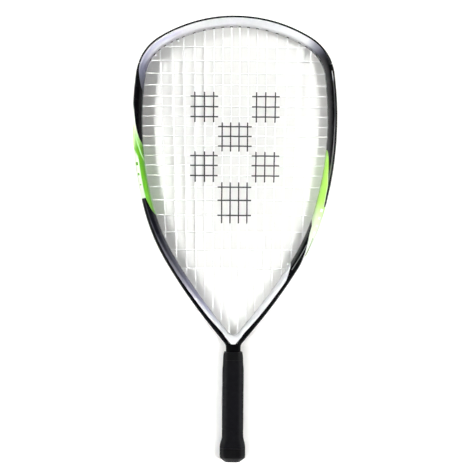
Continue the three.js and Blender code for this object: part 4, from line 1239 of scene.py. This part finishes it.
def butt_piece():
    top = GRIP_END + CLEARANCE
    rings = [ring_at(top + 0.5, octagon(12.5, 12.1, 4.5))]
    for down, slim, corner in BUTT_PROFILE:
        rings.append(ring_at(top + down, octagon(BUTT_LIP - slim, LIP_DEPTH - slim, corner)))
    angles = [math.atan2(p.y, p.x) for p in octagon(BUTT_LIP, LIP_DEPTH)]
    for down, wider in HOLE_PROFILE:
        radius = CORD_HOLE / 2 + wider
        hole = [Vector((radius * math.cos(a), radius * math.sin(a))) for a in angles]
        rings.append(ring_at(top + down, hole))
    make("butt", loft(rings), CAP, "cap_rubber", ("butt_cap",), sharp=45)


frame_piece()
web_piece()
strips()
main_string()
cross_string()
grip_piece()
collar_piece()
butt_piece()

for node, material in (("handle_pallet_front", FOAM), ("handle_pallet_rear", FOAM),
                       ("butt_staple_front", STEEL), ("butt_staple_rear", STEEL)):
    for slot in frame["nodes"][node].material_slots:
        slot.material = material


# Floor, light and camera, in metres

FLOOR_HALF = 3.0
FLOOR_WHITE = (0.87, 0.87, 0.84)
NEAR_HALF_X = 0.2
NEAR_HALF_Y = 0.29
NEAR_GLOW = 0.07
FAR_RUN = 0.22
FAR_GLOW = 0.42

# The racket's outline on the floor, in millimetres: the handle's levels with half widths, the head's ways
SPARE = 20
HANDLE_EDGE = [(-HALF - 3, -SPARE), (-HALF, 15), (-HALF + 18, 16), (-HALF + 30, 13.4),
               (-HALF + HANDLE_LENGTH, 12.8)]
HEAD_WAYS = [400, 360, 320, 280, 240, 200, 175, 150, 130, 110, 90, 70, 50, 30, 15, 0]
EDGE_SPAN = 600
EDGE_TALL = 200
EDGE_AWAY = 3.0
EDGE_SOFT = 14.0
OUTSIDE_GLOW = 0.38


def floor_glow(s, seen):
    """The floor's own light: least round the racket, more outside its outline and far off."""
    x, y = s.position()
    aside = s.math("ABSOLUTE", x)
    beyond = s.math("MAXIMUM", s.less(aside, NEAR_HALF_X), s.less(s.math("ABSOLUTE", y), NEAR_HALF_Y))
    far = s.math("MULTIPLY", beyond, 1 / FAR_RUN, clamp=True)
    far = s.math("MULTIPLY_ADD", far, FAR_GLOW, NEAR_GLOW)
    head = [(at(way, 0).y, at(way, 0).x) for way in [FILLET_END, FILLET_START] + HEAD_WAYS]
    edge = HANDLE_EDGE + head + [(HALF + 3, -SPARE)]
    run = s.math("MULTIPLY_ADD", y, 1 / (EDGE_SPAN * MM), 0.5)
    half = s.curve(run, [(level / EDGE_SPAN + 0.5, width + SPARE) for level, width in edge], EDGE_TALL)
    outside = s.step(s.less(s.times(aside, 1 / MM), s.less(half, SPARE)), EDGE_AWAY, EDGE_SOFT)
    return s.times(seen, s.math("MULTIPLY_ADD", outside, OUTSIDE_GLOW, far))


def floor():
    mesh = bpy.data.meshes.new("floor")
    corners = [(x * FLOOR_HALF, y * FLOOR_HALF, 0) for x, y in ((-1, -1), (1, -1), (1, 1), (-1, 1))]
    mesh.from_pydata(corners, [], [(0, 1, 2, 3)])
    added("floor", mesh)
    s = Shade("floor_white", 0.8, Specular_IOR_Level=0.0)
    s.colour(FLOOR_WHITE)
    ray = s.node("LightPath")
    seen = s.math("MAXIMUM", ray["Is Camera Ray"], ray["Is Glossy Ray"])
    seen = s.math("MAXIMUM", seen, ray["Is Transmission Ray"])
    light = s.node("Emission", Color=(1, 1, 1), Strength=floor_glow(s, seen))
    both = s.nodes.new("ShaderNodeAddShader")
    s.put(both.inputs[0], s.shader.outputs[0])
    s.put(both.inputs[1], light[0])
    s.put(s.nodes["Material Output"].inputs["Surface"], both.outputs[0])
    mesh.materials.append(s.material)


DIM = 0.18
ROOM = (0.0, 0.5, 1.0, 0.08)


def world():
    """A white room to the camera; to gloss and glass it is white low down and dim overhead."""
    made = bpy.data.worlds.new("studio")
    made.use_nodes = True
    bpy.context.scene.world = made
    graph = Graph(made.node_tree)
    background = graph.nodes["Background"].inputs
    graph.put(background["Color"], (1, 1, 1))
    ray = graph.node("LightPath")
    height = graph.node("SeparateXYZ", Vector=graph.node("TexCoord")["Generated"])["Z"]
    mirror = graph.math("MAXIMUM", ray["Is Glossy Ray"], ray["Is Transmission Ray"])
    seen = graph.times(mirror, graph.mapped(height, *ROOM))
    strength = graph.math("MAXIMUM", ray["Is Camera Ray"], seen)
    graph.put(background["Strength"], graph.math("MAXIMUM", strength, DIM))


def linked(name, state):
    """A light linking group of the strings, which are lit or left out."""
    group = bpy.data.collections.new(name)
    for piece in ("mains", "crosses"):
        group.objects.link(bpy.data.objects[piece])
    for member in group.collection_objects:
        member.light_linking.link_state = state
    return group


def lamp(name, place, aim, long, wide, power, spread=180, gleams=True):
    """A soft box; with a narrow spread it has a grid, and lights its own side of the racket."""
    data = bpy.data.lights.new(name, "AREA")
    data.shape = "RECTANGLE"
    data.size = long
    data.size_y = wide
    data.spread = math.radians(spread)
    data.energy = power
    obj = added(name, data)
    obj.visible_glossy = gleams
    obj.location = place
    obj.rotation_euler = (Vector(place) - Vector(aim)).to_track_quat("Z", "Y").to_euler()
    return obj


STRING_SHARE = 1.5


def gridded(name, **settings):
    """A soft box with a grid, and its twin that reaches the strings past the frame."""
    main = lamp(name, **settings, gleams=False)
    main.light_linking.receiver_collection = linked(f"{name}_rest", "EXCLUDE")
    twin = lamp(f"{name}_strings", **settings, gleams=False)
    twin.data.energy *= STRING_SHARE
    twin.light_linking.receiver_collection = linked(f"{name}_reach", "INCLUDE")
    twin.light_linking.blocker_collection = linked(f"{name}_shade", "INCLUDE")


PICTURE_SIZE = 475
SENSOR = 36
CAMERA_PLACE = (0.0043, 0.0018, 1.75)
CAMERA_TURN = 0.45
VIEW_SCALE = 0.9985


def camera():
    data = bpy.data.cameras.new("camera")
    data.sensor_width = SENSOR
    data.lens = VIEW_SCALE * SENSOR * (CAMERA_PLACE[2] - PLANE * MM) / (PICTURE_SIZE * PIXEL * MM)
    data.clip_end = 20
    obj = added("camera", data)
    obj.location = CAMERA_PLACE
    obj.rotation_euler = (0, 0, math.radians(CAMERA_TURN))
    bpy.context.scene.camera = obj


floor()
world()
gridded("key_upper", place=(-1.37, 0.68, 1.9), aim=(-0.21, 0, 0), long=0.9, wide=0.4, power=0.54, spread=9.6)
gridded("key_lower", place=(-1.37, -0.28, 1.9), aim=(-0.21, -0.05, 0), long=0.9, wide=0.4, power=0.605,
        spread=9.6)
gridded("fill", place=(0.92, -0.1, 1.9), aim=(0.18, -0.02, 0), long=1.2, wide=0.24, power=1.1, spread=14)
lamp("gleam_right", place=(1.45, 0.05, 1.55), aim=(0.1, 0, 0), long=1.2, wide=0.24, power=5.0)
lamp("gleam_left", place=(-1.2, -0.45, 1.65), aim=(-0.1, -0.05, 0), long=0.4, wide=0.24, power=2.4)
camera()
bpy.context.scene.view_settings.view_transform = "Standard"
